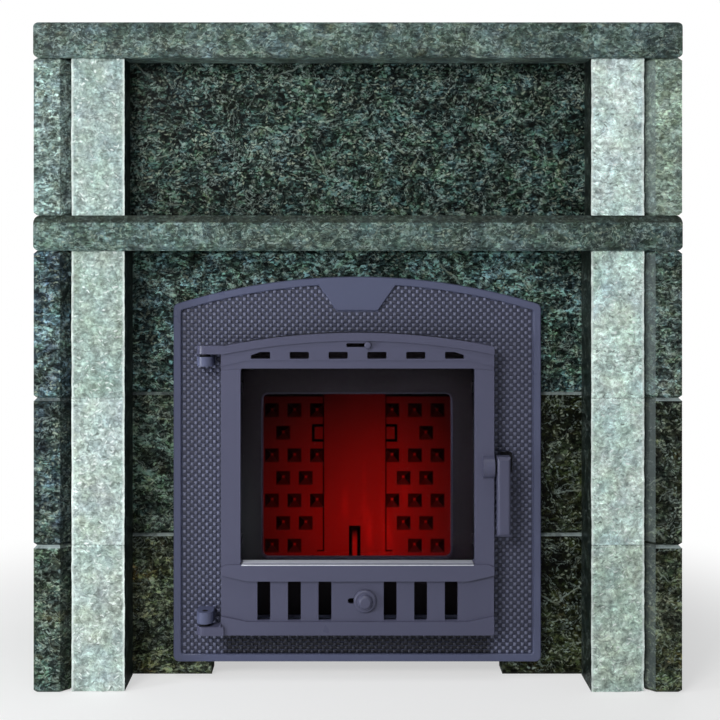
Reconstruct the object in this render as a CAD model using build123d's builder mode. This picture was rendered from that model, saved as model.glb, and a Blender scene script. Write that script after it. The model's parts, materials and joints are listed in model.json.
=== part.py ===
from build123d import *
from math import atan, degrees, sqrt
import os

os.makedirs("parts", exist_ok=True)

# A stone fireplace surround with a cast-iron fire door and firebox, in millimetres.
# Origin under the middle of its box. +X to the right, +Y to the back, +Z up.

# Stone casing
casing_width = 880
casing_depth = 450
course_height = 200
course_count = 3
belt_height = 48
frieze_height = 214
cornice_height = 48
slab_thickness = 50
panel_thickness = 40
pilaster_width = 72
lower_recess = 68
upper_recess = 46
shelf_overhang = 8
slab_proud = 5
side_joint = 0.4
edge_chamfer = 4
slab_bevel = 14
belt_top_bevel = 10
belt_bottom_bevel = 5
cornice_bevel = 3
shelf_corner_radius = 7
cornice_ring_width = 110

# Fire door leaf
leaf_foot = 68
bottom_band_height = 18.5
vent_panel_height = 57
sill_band_height = 22.5
sill_slope = 4
glass_opening_width = 324
glass_opening_height = 267
header_band_height = 11
header_height = 49.5
stile_width = 27
leaf_arch_radius = 950
leaf_plate = 10
leaf_depth = 30
leaf_wall = 4
leaf_corner_radius = 3
seal_lip = 2
rim_band_height = 11
relief = 3
panel_break = 152
panel_flare = 8
sill_raise = 2
header_band_depth = 1.5

# Air vents and their slides
lower_vent_width = 18
lower_vent_height = 54
lower_vent_pitch = 42.3
lower_vent_middle_gap = 90.4
vent_radius = 2
end_vent_radius = 1.5
lower_air_travel = 20
upper_vent_width = 26.6
upper_vent_height = 9.6
upper_vent_pitch = 53.7
upper_vent_rise = 13.5
upper_air_travel = 27
vent_rows = 3
shutter_thickness = 3
slide_gap = 0.3
shutter_margin = 4
shutter_slot_gap = 0.25
shutter_tab_width = 24
guide_wall = 3
guide_lip = 1.8
guide_lip_thickness = 2
lower_shaft_radius = 3.5
lower_shaft_x = 10.4
upper_shaft_radius = 2.4
upper_shaft_x = 14.2
upper_slot_rise = 32.4
slot_gap = 0.3
slot_end_gap = 1
knob_radius = 15.8
knob_disc = 3
knob_disc_bevel = 2
knob_cap_radius = 10.6
knob_cap_height = 7
knob_cap_bevel = 3
knob_taper = 1
pin_head_radius = 4.8
pin_head_height = 6
pin_head_round = 2

# Door frame
frame_side_margin = 69
frame_foot_margin = 45
frame_crown_margin = 77
frame_arch_radius = 868
frame_plate = 8
frame_rim = 6
frame_rim_width = 10.5
frame_rim_bevel = 1
frame_corner_radius = 8
tab_foot_width = 58
tab_head_width = 110
tab_height = 37
leaf_gap = 3
leaf_front_reach = 3
neck_wall = 6
neck_behind_panel = 10
neck_flange = 23
neck_flange_thickness = 6
neck_clearance_side = 24
neck_clearance_top = 10

# Seals and glass
rope_width = 7
rope_depth = 9
rope_gap = 0.3
rib_margin = 1.5
rope_chamfer = 1.5
glass_thickness = 4
glass_overlap = 5
glass_seal = 3
clip_width = 14
clip_thickness = 2
clip_screw_radius = 2
clip_inset = 28
clip_boss_radius = 3.5
clip_boss_gap = 1

# Hinges
hinge_pin_radius = 4
knuckle_radius = 11.5
hinge_offset = 22.6
running_gap = 0.05
press_gap = 0.02
top_knuckle_height = 13
top_ear_height = 11.7
top_ear_drop = 29.5
low_knuckle_height = 16
low_ear_height = 12
low_ear_fillet = 5
pin_shoulder_height = 4
pin_shoulder_radius = 7
ear_gap = 0.3

# Door handle
axle_radius = 5
axle_rise = 131
axle_depth = 4
boss_radius = 16
boss_width = 15.5
lever_gap = 3
lever_width = 18
lever_hub_radius = 15.5
lever_length = 94
lever_thickness = 14
lever_reach = 19
tail_reach = 23.5
tail_width = 6
lever_bevel = 4
collar_wall = 3
axle_end_gap = 1
keeper_peg_radius = 4
keeper_gap = 0.5
keeper_wall = 4
keeper_margin = 2
keeper_reach = 7
keeper_stud_drop = 12
keeper_tail_gap = 2.5

# Firebox
window_width = 268
window_height = 232
window_drop = 6.3
window_radius = 8
window_bevel = 2
mouth_slot_length = 43
mouth_slot_width = 10
mouth_thickness = 8
mouth_depth = 12
cheek_thickness = 8
hearth_thickness = 12
chamber_depth = 242
back_thickness = 20
fit_gap = 0.3
pocket_size = 24
pocket_pitch = 37.2
pocket_depth = 12
pocket_end = 2.4
pocket_rows = 7
pocket_first_x = 62.1
pocket_first_rise = 26.7
flue_panel_width = 100
flue_panel_thickness = 15
plinth_width = 124
plinth_height = 20
plinth_thickness = 20
plinth_slot_width = 16
plinth_slot_height = 60
lug_size = 26
lug_groove = 2.5
lug_x = 56
lug_rise = 212.5
top_thickness = 12
flue_radius = 75
flue_wall = 2
spigot_wall = 6
spigot_height = 50
spigot_flange_radius = 95
spigot_flange_thickness = 8
flue_below_top = 5
flue_clearance = 18
grate_width = 180
grate_length = 150
grate_thickness = 8
grate_ledge = 8
grate_slot = 10
grate_slots = 8
stand_leg = 30
stand_leg_inset = 45
stand_bar = 8

# Fixings
bracket_arm = 40
bracket_thickness = 4
bracket_width = 30
screw_radius = 3
screw_length = 20
screw_head_radius = 5.5
screw_head_height = 4
screw_end_gap = 1
bolt_radius = 3
bolt_head_radius = 5.5
bolt_head_height = 4
bolt_inset = 60
shield_thickness = 1.5
shield_inset = 8
shield_flange = 30
shield_foot = 20
air_slot_length = 44
air_slot_width = 8
air_slot_columns = 9
air_slot_rows = 3
air_slot_pitch = 60
air_slot_rise = 24

# Levels worked out from the sizes above
half_width = casing_width / 2
inner_half = half_width - slab_thickness
panel_half = inner_half - side_joint
pilaster_inner = panel_half - pilaster_width
belt_z = course_count * course_height
frieze_z = belt_z + belt_height
cornice_z = frieze_z + frieze_height
casing_height = cornice_z + cornice_height
shelf_front = -casing_depth / 2
casing_back = casing_depth / 2
pilaster_front = shelf_front + shelf_overhang
slab_front = pilaster_front - slab_proud
lower_face = pilaster_front + lower_recess
lower_back = lower_face + panel_thickness
upper_face = pilaster_front + upper_recess
upper_back = upper_face + panel_thickness
course_floors = [n * course_height for n in range(course_count)] + [frieze_z]
course_tops = [n * course_height + course_height for n in range(course_count)] + [cornice_z]
course_middles = [(low + high) / 2 for low, high in zip(course_floors, course_tops)]

panel_foot = leaf_foot + bottom_band_height
panel_top = panel_foot + vent_panel_height
sill_top = panel_top + sill_band_height
glass_opening_bottom = sill_top + sill_slope
glass_opening_top = glass_opening_bottom + glass_opening_height
header_band_top = glass_opening_top + header_band_height
leaf_crown = glass_opening_top + header_height
upper_vent_foot = glass_opening_top + upper_vent_rise
upper_slot_z = glass_opening_top + upper_slot_rise
leaf_half = glass_opening_width / 2 + stile_width
frame_half = leaf_half + frame_side_margin
frame_foot = leaf_foot - frame_foot_margin
frame_crown = leaf_crown + frame_crown_margin
field_face = lower_face - frame_plate
rim_face = field_face - frame_rim
leaf_back = field_face - leaf_gap
leaf_face = leaf_back - leaf_depth
leaf_rear = leaf_face + leaf_plate
band_face = leaf_face - leaf_front_reach
seal_inset = leaf_wall + rope_width + seal_lip
rope_face = leaf_rear + leaf_plate
rib_reach = field_face - rope_face - rope_depth - rope_gap

neck_inner = leaf_half - seal_inset
neck_half = neck_inner + neck_wall
neck_floor = leaf_foot + seal_inset - neck_wall
neck_top = leaf_crown - seal_inset + neck_wall
neck_back = lower_back + neck_behind_panel
flange_half = neck_half + neck_flange
opening_half = neck_half + neck_clearance_side
opening_top = neck_top + neck_clearance_top

box_front = neck_back
back_face = box_front + chamber_depth
box_back = back_face + back_thickness
hearth_top = neck_floor + hearth_thickness
window_foot = glass_opening_bottom - window_drop
pocket_first_z = hearth_top + pocket_first_rise
box_half = neck_half + cheek_thickness
flue_y = (box_front + back_face) / 2

hinge_x = -leaf_half - hinge_offset
hinge_y = band_face + knuckle_radius
top_ear_z = leaf_crown - top_ear_drop
top_knuckle_z = top_ear_z - pin_shoulder_height - top_knuckle_height
low_ear_z = leaf_foot
low_knuckle_z = low_ear_z + low_ear_height + pin_shoulder_height
axle_z = glass_opening_bottom + axle_rise
clip_heights = (glass_opening_bottom + clip_inset, glass_opening_top - clip_inset)
axle_y = leaf_face + axle_depth
lever_x = leaf_half + lever_gap
lower_vent_foot = (panel_foot + panel_top - lower_vent_height) / 2
lower_slot_z = (panel_foot + panel_top) / 2
vent_offsets = [lower_vent_middle_gap / 2 + n * lower_vent_pitch for n in range(vent_rows)]
lower_vent_x = [side * offset for side in (-1, 1) for offset in vent_offsets]
upper_vent_x = [(n - vent_rows + 0.5) * upper_vent_pitch for n in range(2 * vent_rows)]


def wall_plane(depth):
    """Upright plane at a depth, seen from the front, with x to the right and z up."""
    return Plane.XZ.offset(-depth)


def span(side, near, far):
    """Range of x on one side of the middle, from near to far."""
    return (near, far) if side > 0 else (-far, -near)


def block(x_range, y_range, z_range, mode=Mode.ADD):
    """Square block between three ranges."""
    sizes = [high - low for low, high in (x_range, y_range, z_range)]
    middle = [(high + low) / 2 for low, high in (x_range, y_range, z_range)]
    with Locations(tuple(middle)):
        Box(*sizes, mode=mode)


def arched(half, foot, crown, radius, inset=0, corner=0):
    """Flat foot and sides under one shallow arch, with every side drawn in by the inset."""
    half = half - inset
    foot = foot + inset
    crown = crown - inset
    radius = radius - inset
    shoulder = crown - radius + sqrt(radius * radius - half * half)
    with BuildSketch(mode=Mode.PRIVATE) as outline:
        with BuildLine():
            Polyline((-half, shoulder), (-half, foot), (half, foot), (half, shoulder))
            ThreePointArc((half, shoulder), (0, crown), (-half, shoulder))
        make_face()
        if corner > 0:
            fillet(outline.vertices(), corner)
    return outline.sketch


def leaf_outline(inset=0, corner=0):
    """Outline of the door leaf, drawn in by the inset."""
    return arched(leaf_half, leaf_foot, leaf_crown, leaf_arch_radius, inset, corner)


def frame_outline(inset=0, corner=0):
    """Outline of the door frame, drawn in by the inset."""
    return arched(frame_half, frame_foot, frame_crown, frame_arch_radius, inset, corner)


def screw_holes(points, direction):
    """Pilot holes for the casing screws, going in along the direction."""
    for point in points:
        plane = Plane(origin=point, z_dir=direction)
        with BuildSketch(plane) as hole:
            Circle(screw_radius + press_gap)
        extrude(hole.sketch, amount=screw_length, mode=Mode.SUBTRACT)


# Side slabs, three courses and the upper block on each side
bracket_faces = [lower_back] * course_count + [upper_back]
shield_back = casing_back - shield_inset
shield_face = shield_back - shield_thickness
flange_screw_y = shield_face - shield_flange / 2
for side, hand in ((-1, "left"), (1, "right")):
    for level in range(course_count + 1):
        inner_x = side * inner_half
        outer_x = side * half_width
        with BuildPart() as side_slab:
            with BuildSketch(Plane.XY.offset(course_floors[level])):
                with BuildLine():
                    Polyline(
                        (outer_x, slab_front),
                        (inner_x + side * slab_bevel, slab_front),
                        (inner_x, slab_front + slab_bevel),
                        (inner_x, casing_back),
                        (outer_x, casing_back),
                        close=True,
                    )
                make_face()
            extrude(amount=course_tops[level] - course_floors[level])
            chamfer(side_slab.faces().filter_by(Axis.Z).edges(), edge_chamfer)
            middle = course_middles[level]
            bracket_y = bracket_faces[level] + bracket_arm / 2
            holes = [(inner_x, bracket_y, middle), (inner_x, flange_screw_y, middle)]
            screw_holes(holes, (side, 0, 0))
        side_slab.part.label = f"side_slab_{hand}_{level + 1}"
        export_step(side_slab.part, f"parts/side_slab_{hand}_{level + 1}.step")

# Pilaster strips, one for each course, standing in front of the panels
pilaster_backs = [lower_face] * course_count + [upper_face]
for side, hand in ((-1, "left"), (1, "right")):
    for level in range(course_count + 1):
        with BuildPart() as pilaster:
            block(
                span(side, pilaster_inner, panel_half),
                (pilaster_front, pilaster_backs[level]),
                (course_floors[level], course_tops[level]),
            )
            chamfer(pilaster.faces().sort_by(Axis.Y)[0].edges(), edge_chamfer / 2)
        pilaster.part.label = f"pilaster_{hand}_{level + 1}"
        export_step(pilaster.part, f"parts/pilaster_{hand}_{level + 1}.step")

# Jamb panels beside the door opening, two courses on each side
for side, hand in ((-1, "left"), (1, "right")):
    for level in range(course_count - 1):
        with BuildPart() as jamb:
            block(
                span(side, opening_half, panel_half),
                (lower_face, lower_back),
                (course_floors[level], course_tops[level]),
            )
            long_edges = jamb.faces().sort_by(Axis.Y)[0].edges().filter_by(Axis.X)
            chamfer(long_edges, edge_chamfer)
            hole_x = side * (inner_half - bracket_arm / 2)
            screw_holes([(hole_x, lower_back, course_middles[level])], (0, -1, 0))
        jamb.part.label = f"jamb_{hand}_{level + 1}"
        export_step(jamb.part, f"parts/jamb_{hand}_{level + 1}.step")

# Lintel panel over the door, notched for the neck of the fire opening
lintel_floor = course_floors[course_count - 1]
with BuildPart() as lintel_panel:
    block((-panel_half, panel_half), (lower_face, lower_back), (lintel_floor, belt_z))
    front_edges = lintel_panel.faces().sort_by(Axis.Y)[0].edges().filter_by(Axis.X)
    chamfer(front_edges, edge_chamfer)
    block(
        (-opening_half, opening_half),
        (lower_face, lower_back),
        (lintel_floor, opening_top),
        mode=Mode.SUBTRACT,
    )
    hole_x = inner_half - bracket_arm / 2
    lintel_middle = course_middles[course_count - 1]
    screw_holes([(x, lower_back, lintel_middle) for x in (-hole_x, hole_x)], (0, -1, 0))
lintel_panel.part.label = "lintel_panel"
export_step(lintel_panel.part, "parts/lintel_panel.step")

# Frieze panel between the belt and the cornice
with BuildPart() as frieze_panel:
    block((-panel_half, panel_half), (upper_face, upper_back), (frieze_z, cornice_z))
    hole_x = inner_half - bracket_arm / 2
    screw_holes([(x, upper_back, course_middles[-1]) for x in (-hole_x, hole_x)], (0, -1, 0))
frieze_panel.part.label = "frieze_panel"
export_step(frieze_panel.part, "parts/frieze_panel.step")

# Belt course, a front length with bevelled edges and two side lengths
with BuildPart() as belt_front:
    block((-half_width, half_width), (shelf_front, lower_back), (belt_z, frieze_z))
    face_edges = belt_front.faces().sort_by(Axis.Y)[0].edges().filter_by(Axis.X)
    chamfer(face_edges.sort_by(Axis.Z)[-1], belt_top_bevel)
    face_edges = belt_front.faces().sort_by(Axis.Y)[0].edges().filter_by(Axis.X)
    chamfer(face_edges.sort_by(Axis.Z)[0], belt_bottom_bevel)
    end_edges = belt_front.edges().filter_by(Axis.Y)
    ends = end_edges.group_by(Axis.X)
    fillet(ends[0] + ends[-1], shelf_corner_radius)
belt_front.part.label = "belt_front"
export_step(belt_front.part, "parts/belt_front.step")

for side, hand in ((-1, "left"), (1, "right")):
    with BuildPart() as belt_side:
        block(span(side, inner_half, half_width), (lower_back, casing_back), (belt_z, frieze_z))
        outer_face = belt_side.faces().sort_by(Axis.X)[-1 if side > 0 else 0]
        fillet(outer_face.edges().filter_by(Axis.Y), shelf_corner_radius)
    belt_side.part.label = f"belt_{hand}"
    export_step(belt_side.part, f"parts/belt_{hand}.step")

# Cornice, a ring of four slabs with an open middle for the flue and the warm air
ring_front = lower_back
ring_back = flue_y + flue_radius + flue_clearance
for name, y_range in (("front", (shelf_front, ring_front)), ("rear", (ring_back, casing_back))):
    with BuildPart() as cornice_slab:
        block((-half_width, half_width), y_range, (cornice_z, casing_height))
        free_face = cornice_slab.faces().sort_by(Axis.Y)[0 if name == "front" else -1]
        chamfer(free_face.edges().filter_by(Axis.X), cornice_bevel)
        ends = cornice_slab.edges().filter_by(Axis.Y).group_by(Axis.X)
        fillet(ends[0] + ends[-1], shelf_corner_radius)
    cornice_slab.part.label = f"cornice_{name}"
    export_step(cornice_slab.part, f"parts/cornice_{name}.step")

ring_half = half_width - cornice_ring_width
for side, hand in ((-1, "left"), (1, "right")):
    with BuildPart() as cornice_side:
        block(
            span(side, ring_half, half_width),
            (ring_front, ring_back),
            (cornice_z, casing_height),
        )
        outer_face = cornice_side.faces().sort_by(Axis.X)[-1 if side > 0 else 0]
        fillet(outer_face.edges().filter_by(Axis.Y), shelf_corner_radius)
    cornice_side.part.label = f"cornice_{hand}"
    export_step(cornice_side.part, f"parts/cornice_{hand}.step")

# Angle brackets in the inner corners, two arms each, with a screw hole in each arm
with BuildPart() as corner_brackets:
    for side in (-1, 1):
        for middle, face in zip(course_middles, bracket_faces):
            z_range = (middle - bracket_width / 2, middle + bracket_width / 2)
            wall = (inner_half - bracket_thickness, inner_half)
            arm = (inner_half - bracket_arm, inner_half)
            block(span(side, *wall), (face, face + bracket_arm), z_range)
            block(span(side, *arm), (face, face + bracket_thickness), z_range)
            side_hole = Plane((side * inner_half, face + bracket_arm / 2, middle), z_dir=(-side, 0, 0))
            face_hole = Plane((side * (inner_half - bracket_arm / 2), face, middle), z_dir=(0, 1, 0))
            for plane in (side_hole, face_hole):
                with BuildSketch(plane) as hole:
                    Circle(screw_radius + press_gap)
                extrude(hole.sketch, amount=bracket_thickness, mode=Mode.SUBTRACT)
corner_brackets.part.label = "corner_brackets"
export_step(corner_brackets.part, "parts/corner_brackets.step")

# Rear shield, folded sheet between the side slabs with two rows of air slots
shield_top = cornice_z - side_joint
with BuildPart() as rear_shield:
    block((-panel_half, panel_half), (shield_face, shield_back), (shield_foot, shield_top))
    for side in (-1, 1):
        wall = span(side, panel_half - shield_thickness, panel_half)
        block(wall, (shield_face - shield_flange, shield_back), (shield_foot, shield_top))
        for middle in course_middles:
            plane = Plane((side * panel_half, flange_screw_y, middle), z_dir=(-side, 0, 0))
            with BuildSketch(plane) as hole:
                Circle(screw_radius + press_gap)
            extrude(hole.sketch, amount=shield_thickness, mode=Mode.SUBTRACT)
    with BuildSketch(wall_plane(shield_back)) as slots:
        for slot_z in (course_middles[0], course_middles[-1]):
            with Locations((0, slot_z)):
                with GridLocations(air_slot_pitch, air_slot_rise, air_slot_columns, air_slot_rows):
                    SlotOverall(air_slot_length, air_slot_width)
    extrude(slots.sketch, amount=shield_thickness, mode=Mode.SUBTRACT)
rear_shield.part.label = "rear_shield"
export_step(rear_shield.part, "parts/rear_shield.step")


def casing_screw(seat, direction, grip):
    """One screw, its head on the seat and its shank going in along the direction."""
    plane = Plane(origin=seat, z_dir=direction)
    with BuildSketch(plane) as shank:
        Circle(screw_radius)
    extrude(shank.sketch, amount=grip + screw_length - screw_end_gap)
    with BuildSketch(plane) as head:
        RegularPolygon(screw_head_radius, 6)
    extrude(head.sketch, amount=-screw_head_height)


# Casing screws of the brackets and of the shield
with BuildPart() as casing_screws:
    for side in (-1, 1):
        for middle, face in zip(course_middles, bracket_faces):
            seat_x = side * (inner_half - bracket_thickness)
            seat_y = face + bracket_thickness
            arm_x = side * (inner_half - bracket_arm / 2)
            casing_screw((seat_x, face + bracket_arm / 2, middle), (side, 0, 0), bracket_thickness)
            casing_screw((arm_x, seat_y, middle), (0, -1, 0), bracket_thickness)
            flange_x = side * (panel_half - shield_thickness)
            flange_grip = shield_thickness + side_joint
            casing_screw((flange_x, flange_screw_y, middle), (side, 0, 0), flange_grip)
casing_screws.part.label = "casing_screws"
export_step(casing_screws.part, "parts/casing_screws.step")

# Welded stand, four legs under a ring of flat bar
stand_half = box_half
with BuildPart() as firebox_stand:
    bar_floor = neck_floor - stand_bar
    block((-stand_half, stand_half), (box_front, box_back), (bar_floor, neck_floor))
    block(
        (-stand_half + stand_leg, stand_half - stand_leg),
        (box_front + stand_leg, box_back - stand_leg),
        (bar_floor, neck_floor),
        mode=Mode.SUBTRACT,
    )
    for side in (-1, 1):
        for leg_y in (box_front + stand_leg_inset, box_back - stand_leg):
            leg_x = span(side, stand_half - stand_leg, stand_half)
            block(leg_x, (leg_y, leg_y + stand_leg), (0, bar_floor))
firebox_stand.part.label = "firebox_stand"
export_step(firebox_stand.part, "parts/firebox_stand.step")

# Hearth plate with a ledge for the grate
hearth_half = neck_half - fit_gap
grate_y = (box_front + back_face) / 2
with BuildPart() as firebox_floor:
    block((-hearth_half, hearth_half), (box_front, box_back), (neck_floor, hearth_top))
    seat_half = grate_width / 2 + fit_gap
    seat_y = grate_length / 2 + fit_gap
    block(
        (-seat_half, seat_half),
        (grate_y - seat_y, grate_y + seat_y),
        (hearth_top - grate_thickness, hearth_top),
        mode=Mode.SUBTRACT,
    )
    block(
        (-seat_half + grate_ledge, seat_half - grate_ledge),
        (grate_y - seat_y + grate_ledge, grate_y + seat_y - grate_ledge),
        (neck_floor, hearth_top),
        mode=Mode.SUBTRACT,
    )
firebox_floor.part.label = "firebox_floor"
export_step(firebox_floor.part, "parts/firebox_floor.step")

# Grate, a loose plate with long slots
slot_pitch = (grate_width - 2 * grate_ledge) / grate_slots
slot_length = grate_length - 4 * grate_ledge
with BuildPart() as firebox_grate:
    block(
        (-grate_width / 2, grate_width / 2),
        (grate_y - grate_length / 2, grate_y + grate_length / 2),
        (hearth_top - grate_thickness, hearth_top),
    )
    with BuildSketch(Plane.XY.offset(hearth_top)) as slots:
        with Locations((0, grate_y)):
            with GridLocations(slot_pitch, 0, grate_slots, 1):
                SlotOverall(slot_length, grate_slot, rotation=90)
    extrude(slots.sketch, amount=-grate_thickness, mode=Mode.SUBTRACT)
firebox_grate.part.label = "firebox_grate"
export_step(firebox_grate.part, "parts/firebox_grate.step")

# Cheeks, cast side plates with a bolted flange at the front
bolt_x = (box_half + flange_half) / 2
bolt_heights = (neck_floor + bolt_inset, neck_top - bolt_inset)
cheek_flange = neck_flange_thickness
for side, hand in ((-1, "left"), (1, "right")):
    with BuildPart() as cheek:
        block(span(side, neck_half, box_half), (box_front, box_back), (neck_floor, neck_top))
        block(
            span(side, neck_half, flange_half),
            (box_front, box_front + cheek_flange),
            (neck_floor, neck_top),
        )
        with BuildSketch(wall_plane(box_front + cheek_flange)) as holes:
            with Locations([(side * bolt_x, z) for z in bolt_heights]):
                Circle(bolt_radius + running_gap)
        extrude(holes.sketch, amount=cheek_flange, mode=Mode.SUBTRACT)
    cheek.part.label = f"cheek_{hand}"
    export_step(cheek.part, f"parts/cheek_{hand}.step")

# Back plate with rows of square pyramid pockets and two lug outlines
lug_core = lug_size - 2 * lug_groove
with BuildPart() as back_plate:
    block((-hearth_half, hearth_half), (back_face, box_back), (hearth_top, neck_top))
    pockets = []
    for row in range(pocket_rows):
        full_row = row % 2 == 0
        first = pocket_first_x + (0 if full_row else pocket_pitch / 2)
        columns = range(3 if full_row else 2)
        if row == 0:
            columns = range(1, 3)
        if row == pocket_rows - 2:
            columns = range(1, 2)
        z = pocket_first_z + row * pocket_pitch
        for column in columns:
            x = first + column * pocket_pitch
            pockets += [(x, z), (-x, z)]
    with BuildSketch(wall_plane(back_face)) as pocket_mouths:
        with Locations(pockets):
            Rectangle(pocket_size, pocket_size)
    pocket_slope = degrees(atan((pocket_size - pocket_end) / 2 / pocket_depth))
    extrude(pocket_mouths.sketch, amount=-pocket_depth, taper=pocket_slope, mode=Mode.SUBTRACT)
    with BuildSketch(wall_plane(back_face)) as lugs:
        with Locations([(-lug_x, hearth_top + lug_rise), (lug_x, hearth_top + lug_rise)]):
            Rectangle(lug_size, lug_size)
            Rectangle(lug_core, lug_core, mode=Mode.SUBTRACT)
    extrude(lugs.sketch, amount=-lug_groove, mode=Mode.SUBTRACT)
back_plate.part.label = "back_plate"
export_step(back_plate.part, "parts/back_plate.step")

# Flue panel, the plain upright in front of the back plate, on a slotted plinth
flue_panel_half = flue_panel_width / 2
with BuildPart() as flue_panel:
    block(
        (-flue_panel_half, flue_panel_half),
        (back_face - flue_panel_thickness, back_face),
        (hearth_top, neck_top),
    )
    block(
        (-plinth_width / 2, plinth_width / 2),
        (back_face - plinth_thickness, back_face),
        (hearth_top, hearth_top + plinth_height),
    )
    block(
        (-plinth_slot_width / 2, plinth_slot_width / 2),
        (back_face - plinth_thickness, back_face - flue_panel_thickness / 3),
        (hearth_top, hearth_top + plinth_slot_height),
        mode=Mode.SUBTRACT,
    )
flue_panel.part.label = "flue_panel"
export_step(flue_panel.part, "parts/flue_panel.step")

# Top plate of the firebox with the flue hole
spigot_radius = flue_radius - flue_wall - fit_gap
flue_bore = spigot_radius - spigot_wall
with BuildPart() as top_plate:
    block((-box_half, box_half), (box_front, box_back), (neck_top, neck_top + top_thickness))
    with BuildSketch(Plane.XY.offset(neck_top)) as flue_hole:
        with Locations((0, flue_y)):
            Circle(flue_bore)
    extrude(flue_hole.sketch, amount=top_thickness, mode=Mode.SUBTRACT)
top_plate.part.label = "top_plate"
export_step(top_plate.part, "parts/top_plate.step")

# Flue collar, a flanged cast spigot on the top plate
collar_z = neck_top + top_thickness
with BuildPart() as flue_collar:
    with BuildSketch(Plane.XY.offset(collar_z)) as flange:
        with Locations((0, flue_y)):
            Circle(spigot_flange_radius)
            Circle(flue_bore, mode=Mode.SUBTRACT)
    extrude(flange.sketch, amount=spigot_flange_thickness)
    with BuildSketch(Plane.XY.offset(collar_z)) as spigot:
        with Locations((0, flue_y)):
            Circle(spigot_radius)
            Circle(flue_bore, mode=Mode.SUBTRACT)
    extrude(spigot.sketch, amount=spigot_flange_thickness + spigot_height)
flue_collar.part.label = "flue_collar"
export_step(flue_collar.part, "parts/flue_collar.step")

# Flue pipe, a steel tube that slips over the spigot
pipe_z = collar_z + spigot_flange_thickness
with BuildPart() as flue_pipe:
    with BuildSketch(Plane.XY.offset(pipe_z)) as ring:
        with Locations((0, flue_y)):
            Circle(flue_radius)
            Circle(flue_radius - flue_wall, mode=Mode.SUBTRACT)
    extrude(ring.sketch, amount=casing_height - flue_below_top - pipe_z)
flue_pipe.part.label = "flue_pipe"
export_step(flue_pipe.part, "parts/flue_pipe.step")

# Mouth plate in the neck, with the rounded window and a row of air slots
mouth_half = neck_inner - fit_gap
mouth_floor = neck_floor + neck_wall + fit_gap
mouth_top = neck_top - neck_wall - fit_gap
mouth_face = lower_face + mouth_depth
with BuildPart() as mouth_plate:
    block(
        (-mouth_half, mouth_half),
        (mouth_face, mouth_face + mouth_thickness),
        (mouth_floor, mouth_top),
    )
    with BuildSketch(wall_plane(mouth_face + mouth_thickness)) as window:
        with Locations((0, window_foot + window_height / 2)):
            RectangleRounded(window_width, window_height, window_radius)
        with Locations((0, lower_slot_z)):
            with GridLocations(lower_vent_pitch, 0, 2 * vent_rows, 1):
                SlotOverall(mouth_slot_length, mouth_slot_width, rotation=90)
    extrude(window.sketch, amount=mouth_thickness, mode=Mode.SUBTRACT)
    front_face = mouth_plate.faces().sort_by(Axis.Y)[0]
    chamfer(front_face.inner_wires().sort_by(SortBy.LENGTH)[-1].edges(), window_bevel)
mouth_plate.part.label = "mouth_plate"
export_step(mouth_plate.part, "parts/mouth_plate.step")

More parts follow.
